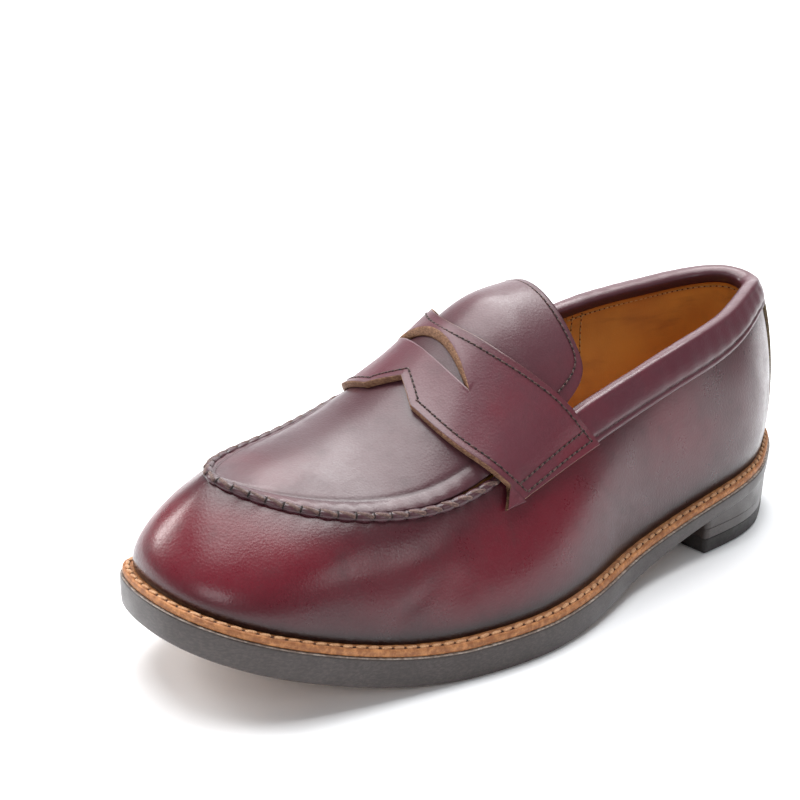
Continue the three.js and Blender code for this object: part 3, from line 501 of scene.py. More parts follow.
def lining_leather(name, body, glow, shade):
    look = Look(name, Specular_IOR_Level=0.35, Sheen_Weight=0.12, Sheen_Roughness=0.5)
    streaks = look.noise(60, 6, 0.62, stretch=(1, 0.35, 1.6))
    cloud = look.noise(18, 4)
    fine = look.noise(1300, 3)
    colour = look.blend(look.remap(cloud, 0.35, 0.68), body, glow)
    colour = look.blend(look.remap(streaks, 0.48, 0.75, 0, 0.55), colour, shade)
    # Painted shade: the shade attribute darkens the lining deep inside the shoe and along its
    # seams.
    colour = look.blend(look.attribute("shade"), colour, shade)
    look.bump([(streaks, 0.25, 0.0006), (fine, 0.3, 0.0002)])
    return look.finish(colour, look.remap(streaks, 0.3, 0.75, 0.46, 0.62))


def grainy(name, body, shade, rough, scale=300, strength=0.4, depth=0.0004, metallic=0.0,
           stretch=None, coat=0.0):
    """Plain matter with two scales of grain: welt, sole, thread, cork, board and metal."""
    look = Look(name, Metallic=metallic, Specular_IOR_Level=0.4, Coat_Weight=coat,
                Coat_Roughness=0.3)
    grain = look.noise(scale, 6, 0.66, stretch=stretch)
    patches = look.noise(scale / 7, 4)
    colour = look.blend(look.remap(grain, 0.38, 0.68), shade, body)
    colour = look.blend(look.remap(patches, 0.45, 0.72, 0, 0.4), colour, shade)
    look.bump([(grain, strength, depth)])
    return look.finish(colour, look.remap(patches, 0.3, 0.7, rough - 0.07, rough + 0.09))


def thread(name, body, shade):
    """Waxed twisted thread."""
    look = Look(name, Specular_IOR_Level=0.45, Sheen_Weight=0.15)
    twist = look.noise(1400, 4, 0.7)
    lengthways = look.noise(260, 3)
    colour = look.blend(look.remap(twist, 0.35, 0.7), shade, body)
    colour = look.blend(look.remap(lengthways, 0.4, 0.7, 0, 0.35), colour, shade)
    look.bump([(twist, 0.7, 0.0003)])
    return look.finish(colour, look.remap(lengthways, 0.3, 0.7, 0.5, 0.66))


WALL_LEATHER = upper_leather("oxblood_leather", rgb(0.058, 0.0078, 0.0130),
                             rgb(0.128, 0.0060, 0.0150), rgb(0.013, 0.0034, 0.0046), 0.25, 0.26)
APRON_LEATHER = upper_leather("apron_leather", rgb(0.066, 0.0200, 0.0270),
                              rgb(0.110, 0.0130, 0.0220), rgb(0.022, 0.0080, 0.0100), 0.30, 0.26)
STRAP_SKIN = upper_leather("strap_leather", rgb(0.098, 0.0240, 0.0350),
                           rgb(0.150, 0.0130, 0.0240), rgb(0.032, 0.0095, 0.0130), 0.32, 0.24)
TONGUE_SKIN = upper_leather("tongue_leather", rgb(0.082, 0.0230, 0.0320),
                            rgb(0.115, 0.0160, 0.0250), rgb(0.028, 0.0095, 0.0125), 0.31, 0.26)
BAND_SKIN = upper_leather("collar_leather", rgb(0.086, 0.0180, 0.0280),
                          rgb(0.150, 0.0120, 0.0230), rgb(0.024, 0.0075, 0.0105), 0.32, 0.24)
RAW_TAN = cut_edge("raw_tan_edge", rgb(0.36, 0.20, 0.11), rgb(0.14, 0.065, 0.04))
RAW_GREY = cut_edge("raw_grey_edge", rgb(0.30, 0.32, 0.33), rgb(0.15, 0.14, 0.14), 0.6)
RAW_OLIVE = cut_edge("raw_olive_edge", rgb(0.24, 0.18, 0.095), rgb(0.10, 0.07, 0.045))
LINING_SKIN = lining_leather("ochre_lining", rgb(0.47, 0.170, 0.030), rgb(0.60, 0.25, 0.04),
                             rgb(0.23, 0.080, 0.016))
WELT_SKIN = grainy("welt_leather", rgb(0.52, 0.225, 0.082), rgb(0.26, 0.095, 0.032), 0.55, 420,
                   0.35, 0.0003)
WELT_THREAD = thread("welt_thread", rgb(0.70, 0.40, 0.20), rgb(0.42, 0.19, 0.08))
BROWN_THREAD = thread("brown_thread", rgb(0.10, 0.040, 0.030), rgb(0.035, 0.014, 0.012))
RUST_THREAD = thread("rust_thread", rgb(0.105, 0.036, 0.026), rgb(0.035, 0.013, 0.010))
SEAM_THREAD = thread("seam_thread", rgb(0.20, 0.105, 0.082), rgb(0.06, 0.028, 0.024))
LINING_THREAD = thread("lining_thread", rgb(0.62, 0.40, 0.16), rgb(0.38, 0.20, 0.07))
# Awl and welt holes: dark beads of painted shade where the stitches go into the leather.
AWL_HOLE_SHADE = grainy("awl_hole_shade", rgb(0.022, 0.009, 0.008), rgb(0.010, 0.005, 0.004), 0.8)
WELT_HOLE_SHADE = grainy("welt_hole_shade", rgb(0.085, 0.030, 0.014), rgb(0.04, 0.015, 0.008), 0.8)
SOLE_EDGE = grainy("sole_edge_wax", rgb(0.062, 0.046, 0.042), rgb(0.034, 0.025, 0.023), 0.36, 700,
                   0.3, 0.0002, stretch=(1, 1, 2.2), coat=0.15)
SOLE_LIP = grainy("sole_lip", rgb(0.42, 0.36, 0.31), rgb(0.16, 0.12, 0.10), 0.55, 500)
SOLE_UNDER = grainy("sole_underside", rgb(0.33, 0.20, 0.12), rgb(0.20, 0.11, 0.065), 0.5, 380,
                    stretch=(1, 0.4, 1))
RUBBER = grainy("heel_rubber", rgb(0.040, 0.034, 0.033), rgb(0.022, 0.019, 0.018), 0.6, 600)
BOARD = grainy("insole_leather", rgb(0.44, 0.28, 0.15), rgb(0.30, 0.17, 0.09), 0.7, 260)
STIFF = grainy("stiffener_cloth", rgb(0.44, 0.37, 0.26), rgb(0.30, 0.25, 0.17), 0.85, 500)
CORK = grainy("cork", rgb(0.36, 0.21, 0.11), rgb(0.15, 0.08, 0.04), 0.9, 180, 0.8, 0.0008)
STEEL = grainy("shank_steel", rgb(0.52, 0.52, 0.53), rgb(0.36, 0.36, 0.37), 0.32, 240, 0.2,
               0.0001, metallic=1.0)
BRASS = grainy("nail_brass", rgb(0.56, 0.38, 0.15), rgb(0.38, 0.25, 0.10), 0.34, 500, 0.2,
               0.0001, metallic=1.0)


# ---- meshes -----------------------------------------------------------------------------------
def piece(name, verts, faces, materials, slot, replaces=(), body="root", face_materials=None,
          attributes=None):
    """A closed mesh from points in millimetres; it rides on a body unless body is None."""
    mesh = bpy.data.meshes.new(name)
    mesh.from_pydata((np.asarray(verts) * MM).tolist(), [], [list(f) for f in faces])
    for material in materials:
        mesh.materials.append(material)
    if face_materials is not None:
        mesh.polygons.foreach_set("material_index", np.asarray(face_materials, np.int32))
    for key, values in (attributes or {}).items():
        layer = mesh.attributes.new(key, "FLOAT", "POINT")
        layer.data.foreach_set("value", np.clip(values, 0, 1).astype(np.float32))
    work = bmesh.new()
    work.from_mesh(mesh)
    bmesh.ops.remove_doubles(work, verts=work.verts, dist=1e-6)
    bmesh.ops.recalc_face_normals(work, faces=work.faces)
    work.to_mesh(mesh)
    work.free()
    mesh.polygons.foreach_set("use_smooth", np.ones(len(mesh.polygons), bool))
    mesh.update()
    thing = bpy.data.objects.new(name, mesh)
    bpy.context.scene.collection.objects.link(thing)
    if replaces:
        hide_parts(*replaces)
    if body:
        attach(thing, body)
    return thing


def weigh_normals(thing):
    """Gives the broad faces their own normals next to narrow rims."""
    modifier = thing.modifiers.new("weighted", "WEIGHTED_NORMAL")
    modifier.weight = 80
    modifier.keep_sharp = False


def grid_faces(rows, columns):
    """Quads of a grid whose vertices are numbered row by row."""
    corners = [(i * columns + j) for i in range(rows - 1) for j in range(columns - 1)]
    return [(a, a + 1, a + columns + 1, a + columns) for a in corners]


RIM_LEVELS = ((0.1, 0.6), (0.3, 0.95), (0.7, 0.95), (0.9, 0.6))


def shell(name, outer, inner, faces, materials, slot, bulge=0.22, attributes=None, **rest):
    """Ply between two layers of the same mesh, closed by a rounded rim in the second material."""
    outer = np.asarray(outer).reshape(-1, 3)
    inner = np.asarray(inner).reshape(-1, 3)
    count = len(outer)
    # A dictionary and not a set, so that the border keeps its order.
    directed = {pair: True for face in faces for pair in zip(face, face[1:] + face[:1])}
    border = [(a, b) for a, b in directed if (b, a) not in directed]
    through = unit(outer - inner)
    push = np.zeros_like(outer)
    for a, b in border:
        side = np.cross(outer[b] - outer[a], through[a])
        push[a] += side
        push[b] += side
    push = unit(push)
    # The rim swells away from the ply: one border vertex is tried against its own face.
    probe = border[0][0]
    near = next(f for f in faces if probe in f)
    if np.dot(push[probe], outer[list(near)].mean(axis=0) - outer[probe]) > 0:
        push = -push
    rim_verts = sorted({a for a, _ in border} | {b for _, b in border})
    thick = np.linalg.norm(outer - inner, axis=1)[:, None]
    levels = [{v: v for v in rim_verts}]
    verts = [outer, inner]
    total = 2 * count
    source = list(range(count)) * 2
    for depth, swell in RIM_LEVELS:
        ids = np.array(rim_verts)
        verts.append(mix(outer[ids], inner[ids], depth) + push[ids] * thick[ids] * bulge * swell)
        levels.append({v: total + i for i, v in enumerate(rim_verts)})
        source += rim_verts
        total += len(rim_verts)
    levels.append({v: v + count for v in rim_verts})
    every = [tuple(f) for f in faces] + [tuple(v + count for v in reversed(f)) for f in faces]
    kinds = [0] * len(faces) + [min(2, len(materials) - 1)] * len(faces)
    for a, b in border:
        for upper, lower in zip(levels, levels[1:]):
            every.append((upper[b], upper[a], lower[a], lower[b]))
            kinds.append(min(1, len(materials) - 1))
    spread = {key: np.asarray(values).reshape(-1)[source] for key, values in
              (attributes or {}).items()}
    thing = piece(name, np.concatenate(verts), every, materials, slot, face_materials=kinds,
                  attributes=spread, **rest)
    weigh_normals(thing)
    return thing


def swept(name, rings, material, slot, closed=False, **rest):
    """Closed body through rings of points; open sweeps get flat end caps."""
    rows, sides = rings.shape[:2]
    faces = []
    for i in range(rows if closed else rows - 1):
        n = (i + 1) % rows
        for j in range(sides):
            k = (j + 1) % sides
            faces.append((i * sides + j, i * sides + k, n * sides + k, n * sides + j))
    if not closed:
        faces += [tuple(range(sides)), tuple((rows - 1) * sides + j for j in range(sides))]
    return piece(name, rings.reshape(-1, 3), faces, [material], slot, **rest)


def travelled(points):
    """Distance along a line of points, from its start."""
    return np.concatenate([[0], np.cumsum(np.linalg.norm(np.diff(points, axis=0), axis=1))])


TANGENT_STEP = 0.3              # to either side of a place where a line's direction is taken


def resample(points, normals, pitch, offset=0.5):
    """Evenly spaced places along a line: centres, directions and normals."""
    run = travelled(points)
    count = max(2, int(run[-1] / pitch))
    where = (np.arange(count) + offset) * run[-1] / count

    def pick(values, shift=0.0):
        return np.stack([np.interp(where + shift, run, values[:, k]) for k in range(3)], 1)

    along = unit(pick(points, TANGENT_STEP) - pick(points, -TANGENT_STEP))
    return pick(points), along, unit(pick(normals))


def bead_shape(sides=8, rings=6):
    """Unit bead along x: a fat rounded capsule, as verts and faces."""
    verts = [(-1.0, 0.0, 0.0)]
    for i in range(1, rings):
        angle = math.pi * i / rings
        x = -math.cos(angle)
        radius = math.sin(angle) ** 0.6
        for j in range(sides):
            turn = 2 * math.pi * j / sides
            verts.append((x, radius * math.cos(turn), radius * math.sin(turn)))
    verts.append((1.0, 0.0, 0.0))
    faces = []
    for j in range(sides):
        k = (j + 1) % sides
        faces.append((0, 1 + k, 1 + j))
        for i in range(rings - 2):
            a = 1 + i * sides
            faces.append((a + j, a + k, a + sides + k, a + sides + j))
        end = 1 + (rings - 2) * sides
        faces.append((end + j, end + k, len(verts) - 1))
    return np.array(verts), faces


BEAD_VERTS, BEAD_FACES = bead_shape()


def beads(centres, along, out, size, lift, slant=0.0, jitter=0.0):
    """Beads of (length, width, height) on a surface; slant turns them in its plane."""
    length, width, height = size
    side = unit(np.cross(out, along))
    out = unit(np.cross(along, side))
    turn = slant + RNG.normal(0, jitter, len(centres))[:, None]
    heading = along * np.cos(turn) + side * np.sin(turn)
    flank = side * np.cos(turn) - along * np.sin(turn)
    scale = 1 + RNG.normal(0, jitter, len(centres))[:, None, None]
    local = (BEAD_VERTS[None, :, 0:1] * heading[:, None, :] * length / 2 * scale
             + BEAD_VERTS[None, :, 1:2] * flank[:, None, :] * width / 2
             + BEAD_VERTS[None, :, 2:3] * out[:, None, :] * height / 2)
    return centres[:, None, :] + out[:, None, :] * lift + local


def stitching(name, lines, pitch, size, lift, slot, thread_look, hole_shade_look=None, hole=None,
              slant=0.0, jitter=0.04, body="root"):
    """Row of stitches with awl holes of painted shade between, over any number of lines, as one
    piece.
    """
    verts, faces, kinds = [], [], []

    def put(clusters, kind):
        for cluster in clusters:
            start = len(verts) * len(BEAD_VERTS)
            verts.append(cluster)
            faces.extend(tuple(start + v for v in f) for f in BEAD_FACES)
            kinds.extend([kind] * len(BEAD_FACES))

    for points, normals in lines:
        put(beads(*resample(points, normals, pitch), size, lift, slant, jitter), 0)
        if hole_shade_look:
            centres, along, out = resample(points, normals, pitch, 0.0)
            put(beads(centres, along, out, hole[:3], hole[3]), 1)
    materials = [thread_look] + ([hole_shade_look] if hole_shade_look else [])
    return piece(name, np.concatenate(verts), faces, materials, slot, body=body,
                 face_materials=kinds)


# ---- bottom of the shoe -----------------------------------------------------------------------
def halves(inset, breast=None, count=200):
    """Outer and inner half of an outline, heel back to toe tip or to the heel breast."""
    shares = 0.5 * np.linspace(0, 1, count)
    outer = edge(shares, inset)
    inner = edge(1 - shares, inset)
    if breast is None:
        outer[-1] = inner[-1] = (outer[-1] + inner[-1]) / 2
        return outer, inner
    sides = []
    for half in (outer, inner):
        stop = np.argmax(half[:, 1] > breast)
        places = np.linspace(0, 1, 60)
        lengthways = np.interp(places, np.linspace(0, 1, stop), half[:stop, 1])
        across = np.interp(places, np.linspace(0, 1, stop), half[:stop, 0])
        sides.append(np.stack([across, lengthways], 1))
    corners = [np.array([side[-1, 0], breast]) for side in sides]
    centre = (corners[0] + corners[1]) / 2
    done = []
    for side, corner in zip(sides, corners):
        share = np.linspace(0, 1, 14)[:, None]
        line = corner + (centre - corner) * share
        line[:, 1] -= 0.9 * np.sin(share[:, 0] * math.pi / 2)
        done.append(np.concatenate([side[:-1], line]))
    return done[0], done[1]


def slab(name, levels, materials, slot, breast=None, kinds=None, columns=10, **rest):
    """Flat body of the shoe's outline; levels are (inset, height function), top to bottom."""
    verts, faces, face_kinds = [], [], []
    rings = []
    for inset, height in levels:
        outer, inner = halves(inset, breast)
        ring = np.concatenate([outer, inner[-2:0:-1]])
        rings.append(sum(map(len, verts)))
        verts.append(at(ring[:, 0], ring[:, 1], height(ring[:, 1])))
    size = len(verts[0])
    for i in range(len(levels) - 1):
        for j in range(size):
            k = (j + 1) % size
            faces.append((rings[i] + j, rings[i] + k, rings[i + 1] + k, rings[i + 1] + j))
            face_kinds.append(kinds[i + 1] if kinds else 0)
    for which, kind in ((0, 0), (-1, -1)):
        inset, height = levels[which]
        outer, inner = halves(inset, breast)
        share = np.linspace(0, 1, columns + 1)[None, :, None]
        across = mix(outer[:, None, :], inner[:, None, :], share)
        start = sum(map(len, verts))
        verts.append(at(across[..., 0], across[..., 1], height(across[..., 1])).reshape(-1, 3))
        cap = [tuple(start + v for v in f) for f in grid_faces(len(outer), columns + 1)]
        faces += cap
        face_kinds += [kinds[kind] if kinds else 0] * len(cap)
    thing = piece(name, np.concatenate(verts), faces, materials, slot,
                  face_materials=face_kinds, **rest)
    weigh_normals(thing)
    return thing


def rounded_levels(inset, top, bottom, radius, steps=4, pillow=0.0):
    """Levels of a rounded edge between two height functions."""
    levels = [(inset + radius * 2.2, top)]
    for i in range(steps + 1):
        angle = math.pi / 2 * i / steps
        reach, drop = radius * (1 - math.sin(angle)), radius * (1 - math.cos(angle))
        levels.append((inset + reach, lambda s, drop=drop: top(s) - drop))
    for share in (0.3, 0.5, 0.7):
        swell = pillow * math.sin(math.pi * share)
        levels.append((inset - swell, lambda s, share=share: mix(top(s), bottom(s), share)))
    for i in range(steps + 1):
        angle = math.pi / 2 * (1 - i / steps)
        reach, drop = radius * (1 - math.sin(angle)), radius * (1 - math.cos(angle))
        levels.append((inset + reach, lambda s, drop=drop: bottom(s) + drop))
    levels.append((inset + radius * 2.2, bottom))
    return levels


def build_bottom():
    sole_levels = rounded_levels(0.0, sole_top, sole_bottom, 0.9, pillow=0.15)
    sole_kinds = [1] * 4 + [0] * (len(sole_levels) - 6) + [2] * 2
    slab("outsole_visual", sole_levels, [SOLE_EDGE, SOLE_LIP, SOLE_UNDER], "outsole",
         kinds=sole_kinds, replaces=["outsole"])
    heel_top = lambda s: sole_bottom(s) - PLATE_GAP
    lift_top = TOP_LIFT + HEEL_LIFT
    flat = lambda height: lambda s: np.full_like(np.asarray(s, float), height)
    slab("heel_wedge_visual",
         rounded_levels(HEEL_INSET, heel_top, flat(lift_top + PLATE_GAP), 0.25), [SOLE_EDGE],
         "heel_stack", HEEL_LENGTH, replaces=["heel_wedge"])
    slab("heel_lift_visual",
         rounded_levels(HEEL_INSET + 0.2, flat(lift_top), flat(TOP_LIFT + PLATE_GAP), 0.25),
         [SOLE_EDGE], "heel_stack", HEEL_LENGTH - 0.3, replaces=["heel_lift"])
    slab("top_lift_visual", rounded_levels(HEEL_INSET + 0.4, flat(TOP_LIFT), flat(0.0), 0.5),
         [RUBBER], "top_lift", HEEL_LENGTH - 0.6, replaces=["top_lift"])
    slab("sock_liner_visual",
         rounded_levels(WELT_SHOW_WAIST + WALL_PLIES + 0.3, lambda s: sole_top(s) + SOCK_TOP,
                        lambda s: sole_top(s) + INSOLE_TOP + PLATE_GAP, 0.4),
         [LINING_SKIN], "lining", replaces=["sock_liner"])
    build_welt()


WELT_STITCH_INSET = 2.55


def build_welt():
    """Welt strip round the shoe, with its stitch channel, rounded edge and lock stitches."""
    shares = np.arange(480) / 480
    profile = [(WELT_INSET + 11, 0.0), (WELT_INSET + 0.5, 0.0), (WELT_INSET + 0.12, 0.14),
               (WELT_INSET, 0.5)]
    profile += [(WELT_INSET, 1.6), (WELT_INSET + 0.12, 2.1), (WELT_INSET + 0.45, WELT_THICKNESS)]
    profile += [(WELT_STITCH_INSET - 0.75, WELT_THICKNESS + 0.02),
                (WELT_STITCH_INSET - 0.45, WELT_THICKNESS - 0.22),
                (WELT_STITCH_INSET + 0.45, WELT_THICKNESS - 0.22),
                (WELT_STITCH_INSET + 0.8, WELT_THICKNESS + 0.04),
                (WELT_INSET + 11, WELT_THICKNESS)]
    rings = []
    for inset, height in profile:
        x, station = np.moveaxis(edge(shares, np.full(480, inset)), -1, 0)
        wave = 0.07 * np.sin(shares * 2 * math.pi * 61) + 0.05 * np.sin(shares * 2 * math.pi * 143)
        rings.append(at(x, station, sole_top(station) + PLATE_GAP + height + wave * (height > 2)))
    swept("welt_visual", np.stack(rings, 1), WELT_SKIN, "welt", closed=True, replaces=["welt"])
    shares = np.linspace(0, 1, 721)
    x, station = np.moveaxis(edge(shares, np.full(721, WELT_STITCH_INSET)), -1, 0)
    line = at(x, station, sole_top(station) + PLATE_GAP + WELT_THICKNESS - 0.1)
    up = np.broadcast_to([0, 0, 1.0], line.shape)
    stitching("welt_stitches", [(line, up)], 4.4, (3.9, 1.45, 1.15), 0.18, "welt", WELT_THREAD,
              WELT_HOLE_SHADE, (1.3, 1.1, 0.5, 0.0), slant=0.16)


# ---- upper ------------------------------------------------------------------------------------
PUCKERS = 92                    # gathers of the moccasin seam, counted all round the rim
SEAM_PITCH = 5.6


def burnish_and_painted_shade(share, height):
    """Where the wall is burnished red, and where it darkens with painted shade and dark burnish."""
    share = share % 1.0
    toe = bell(share - 0.475, 0.055) * bell(height - 0.52, 0.33)
    side = bell(share - 0.30, 0.075) * bell(height - 0.42, 0.4)
    inner = bell(share - 0.60, 0.10) * bell(height - 0.5, 0.35)
    waist = 0.4 * bell(share - 0.17, 0.06) * bell(height - 0.45, 0.35)
    glow = toe + 0.85 * side + 0.6 * inner + waist
    # Darker near the welt: partly painted shade, partly dark burnish.
    foot = 0.95 * bell(height, 0.07) + 0.35 * bell(height, 0.2)
    # Painted shade on the wall just under the moccasin seam, round the toe.
    seam = 0.55 * bell(height - 1, 0.035) * (np.abs(share - 0.5) < 0.22)
    return glow, foot + seam


def build_wall():
    count = 420
    shares = np.arange(count + 1) / count
    heights = np.concatenate([[0.0, 0.012], np.linspace(0.03, 0.97, 54), [0.985, 1.0]])
    share, height = np.meshgrid(shares, heights, indexing="ij")
    front = bell(share - 0.5, 0.2)
    pucker = 0.16 * np.sin(share * 2 * math.pi * PUCKERS) * bell(height - 1, 0.09) * (front > 0.15)
    crease = (bell(share - 0.335 - 0.05 * (height - 0.3), 0.008) * bell(height - 0.32, 0.14)
              + bell(share - 0.36 + 0.04 * (height - 0.3), 0.007) * bell(height - 0.25, 0.12)
              + bell(share - 0.655 + 0.03 * (height - 0.3), 0.008) * bell(height - 0.35, 0.16))
    wave = 0.05 * np.sin(share * 40 + height * 9) + 0.03 * np.sin(share * 77 - height * 14 + 1)
    skin = pucker - 0.35 * crease + wave * np.sin(math.pi * height)
    outer = wall_at(share, height, skin)
    inner = wall_at(share, height, -LEATHER + 0 * skin)
    under = ((3.0, 0.0), (1.3, 0.0), (0.45, 0.12))
    low_outer = np.stack([margin(shares, d, z) for d, z in under], 1)
    low_inner = np.stack([margin(shares, d + 1.0, LEATHER) for d, _ in under], 1)
    outer = np.concatenate([low_outer, outer], 1)
    inner = np.concatenate([low_inner, inner], 1)
    # Red burnish and painted shade for the wall; the lasting margin below it is all painted shade.
    glow, dark = burnish_and_painted_shade(share, height)
    pad = np.zeros((count + 1, len(under)))
    glow = np.concatenate([pad, glow], 1)
    dark = np.concatenate([pad + 1, dark], 1)
    shell("vamp_wall_visual", outer, inner, grid_faces(*outer.shape[:2]),
          [WALL_LEATHER, WALL_LEATHER], "upper", replaces=["vamp_wall"],
          attributes={"glow": glow, "shade": dark})


SEAM_INSIDE = 5.2               # inner stitch line to the moccasin seam
APRON_MARGIN = 1.4              # apron's edge inside the rim
TIP_REACH = 520                 # millimetres to one unit of share, near the toe tip
APRON_TIP = 0.4985              # share at which the apron ends


def apron_across(share, distance):
    """Girth that lies distance inside the rim at a place round it."""
    width = np.linalg.norm(rim(share) - rim(1 - share), axis=-1)
    slope = 1.35
    return 1 - 2 * distance / np.maximum(width, 2.2 * distance) / slope


def build_apron():
    rows, columns = 150, 90
    girths = np.sin(np.linspace(-0.5, 0.5, columns) * math.pi)
    begin = arch_share(strap_rear(0.98 * girths) + 2 * TONGUE_CLEARANCE - 3.8 * bell(girths, 0.5))
    share = mix(begin[None, :], APRON_TIP, (np.linspace(0, 1, rows) ** 0.9)[:, None])
    width = np.linalg.norm(rim(share) - rim(1 - share), axis=-1)
    across = girths[None, :] * np.maximum(0, 1 - 2 * APRON_MARGIN / np.maximum(width, 2.9))
    inside = (1 - np.abs(across)) * width / 2
    tip_inside = (0.5 - share) * TIP_REACH
    reach = np.minimum(inside, tip_inside)
    pucker = 0.17 * np.sin(share * 2 * math.pi * PUCKERS) * bell(reach, 3.2)
    groove = -0.28 * bell(reach - SEAM_INSIDE, 0.7)
    roll = 0.5 * bell(reach - 2.2, 2.0)
    lift = pucker + groove + roll
    outer = arch_at(share, across, lift)
    inner = arch_at(share, across, -LEATHER + 0 * lift)
    glow = 0.55 * bell(share - 0.455, 0.03) * bell(across, 0.9) + 0.25 * bell(reach, 5)
    # Painted shade along the apron's edge at the moccasin seam and in the groove of its inner
    # stitches.
    dark = 0.7 * bell(reach, 1.3) + 0.4 * bell(reach - SEAM_INSIDE, 0.6)
    shell("apron_visual", outer, inner, grid_faces(rows, columns), [APRON_LEATHER, APRON_LEATHER],
          "apron", replaces=["apron"],
          attributes={"glow": glow, "shade": dark})


def seam_line():
    """Moccasin seam from strap to strap round the toe: points on the rim and outward normals."""
    start = float(arch_share(strap_front_base(1.0) - 4))
    stop = 1 - float(arch_share(strap_front_base(-1.0) - 4))
    shares = np.linspace(start, stop, 700)
    side = wall_normal(shares, np.full(700, 0.97))
    folded = np.minimum(np.minimum(shares, 1 - shares), 0.49)
    above = arch_normal(folded, np.where(shares < 0.5, 0.93, -0.93))
    out = unit(side + above)
    for _ in range(30):
        out[1:-1] = unit(out[:-2] + out[1:-1] * 2 + out[2:])
    return shares, rim(shares), out


def build_seam():
    shares, line, out = seam_line()
    along = unit(np.gradient(line, axis=0))
    across = unit(np.cross(along, out))
    run = travelled(line)
    swell = np.abs(np.sin(math.pi * run / SEAM_PITCH)) ** 0.55
    ends = ease(np.minimum(run, run[-1] - run) / 6)
    rings = []
    sides = 16
    for k in range(sides):
        turn = 2 * math.pi * k / sides
        wide = 1.75 * (0.80 + 0.20 * swell) * mix(0.6, 1, ends)
        tall = 1.5 * (0.72 + 0.28 * swell) * mix(0.3, 1, ends)
        rings.append(line + out * (0.3 + tall * math.cos(turn))[:, None]
                     + across * (wide * math.sin(turn))[:, None])
    # Painted shade in the pinched hollows between the gathers of the seam.
    dark = np.repeat((1 - swell)[:, None] * 0.95, sides, axis=1)
    swept("moccasin_seam_visual", np.stack(rings, 1), APRON_LEATHER, "upper",
          replaces=["moccasin_seam"],
          attributes={"glow": np.zeros(dark.size), "shade": dark.reshape(-1)})
    free = (run > 3.5) & (run < run[-1] - 3.5)
    whip_line = (line[free] + out[free] * 0.75, out[free])
    stitching("moccasin_whip_stitches", [whip_line], SEAM_PITCH, (6.0, 1.75, 1.9), 0.35, "upper",
              SEAM_THREAD, AWL_HOLE_SHADE, (1.0, 3.0, 2.0, 0.0), slant=-0.3, jitter=0.05)
    inner_lines = []
    for side in (1, -1):
        share = shares[shares < 0.5] if side > 0 else 1 - shares[shares > 0.5][::-1]
        share = share[share < 0.478]
        across_at = side * apron_across(share, SEAM_INSIDE)
        inner_lines.append((arch_at(share, across_at, np.full(len(share), -0.1)),
                            arch_normal(share, across_at)))
    outer_side, inner_side = inner_lines
    joined = [np.concatenate([a, b[::-1]]) for a, b in zip(outer_side, inner_side)]
    stitching("apron_inner_stitches", [joined], SEAM_PITCH, (3.4, 0.75, 0.55), 0.06, "apron",
              RUST_THREAD, AWL_HOLE_SHADE, (0.9, 0.6, 0.4, -0.05))


STRAP_SMOOTH = np.array([-0.16, -0.1, -0.05, 0, 0.05, 0.1, 0.16])


def strap_base(station, girth):
    """Strap's own surface: the girth line with the fold at the rim evened out."""
    weights = np.exp(-((STRAP_SMOOTH / 0.09) ** 2))
    total = 0
    for step, weight in zip(STRAP_SMOOTH, weights):
        total = total + girth_at(station, girth + step) * weight
    return total / weights.sum()


def strap_surface(station, girth, extra=0.0):
    """Strap surface and normal; extra is the height above the strap's underside."""
    station, girth = np.broadcast_arrays(station, girth)
    du = strap_base(station + 0.8, girth) - strap_base(station - 0.8, girth)
    dv = strap_base(station, girth + 0.02) - strap_base(station, girth - 0.02)
    normal = unit(np.cross(du, dv))
    normal = normal * np.sign(normal[..., 2:] + 1e-3 + 2 * (np.abs(girth[..., None]) > 1.05)
                              * (normal[..., 0:1] * np.sign(girth[..., None])))
    lift = STRAP_LIFT + SEAM_LIFT * bell(np.abs(girth) - 1, 0.14) + extra
    return strap_base(station, girth) + normal * lift[..., None], normal


def strap_top(station, girth):
    """Height of the strap's face over its underside, with the slight waves of worn leather."""
    return STRAP_LEATHER + (0.10 * np.sin(girth * 7 + station * 0.11)
                            + 0.06 * np.sin(girth * 13 - station * 0.2))


def strap_reach(fractions):
    """Girths at which the strap ends, outer and inner, at fractions from rear to front edge."""
    ends = []
    for side in (1, -1):
        station = mix(strap_rear(1.2 * side), strap_front(1.2 * side), fractions)
        place = arch_share(station)
        ends.append(2 - below_rim(place if side > 0 else 1 - place, STRAP_DROP))
    return ends


def slot_edges(girth):
    """Stations of the slot's rear and front edge at a girth; equal where there is no slot."""
    x = girth_at(np.full(len(girth), float(SLOT_STATION)), girth)[:, 0] + MIDDLE
    share = np.clip((x - SLOT_CENTRE) / (SLOT_LENGTH / 2), -1, 1)
    share = np.where(np.abs(girth) > 0.95, 1, share)
    full = 1 - share ** 2
    return SLOT_STATION - SLOT_BACK * full, SLOT_STATION + SLOT_FRONT * full


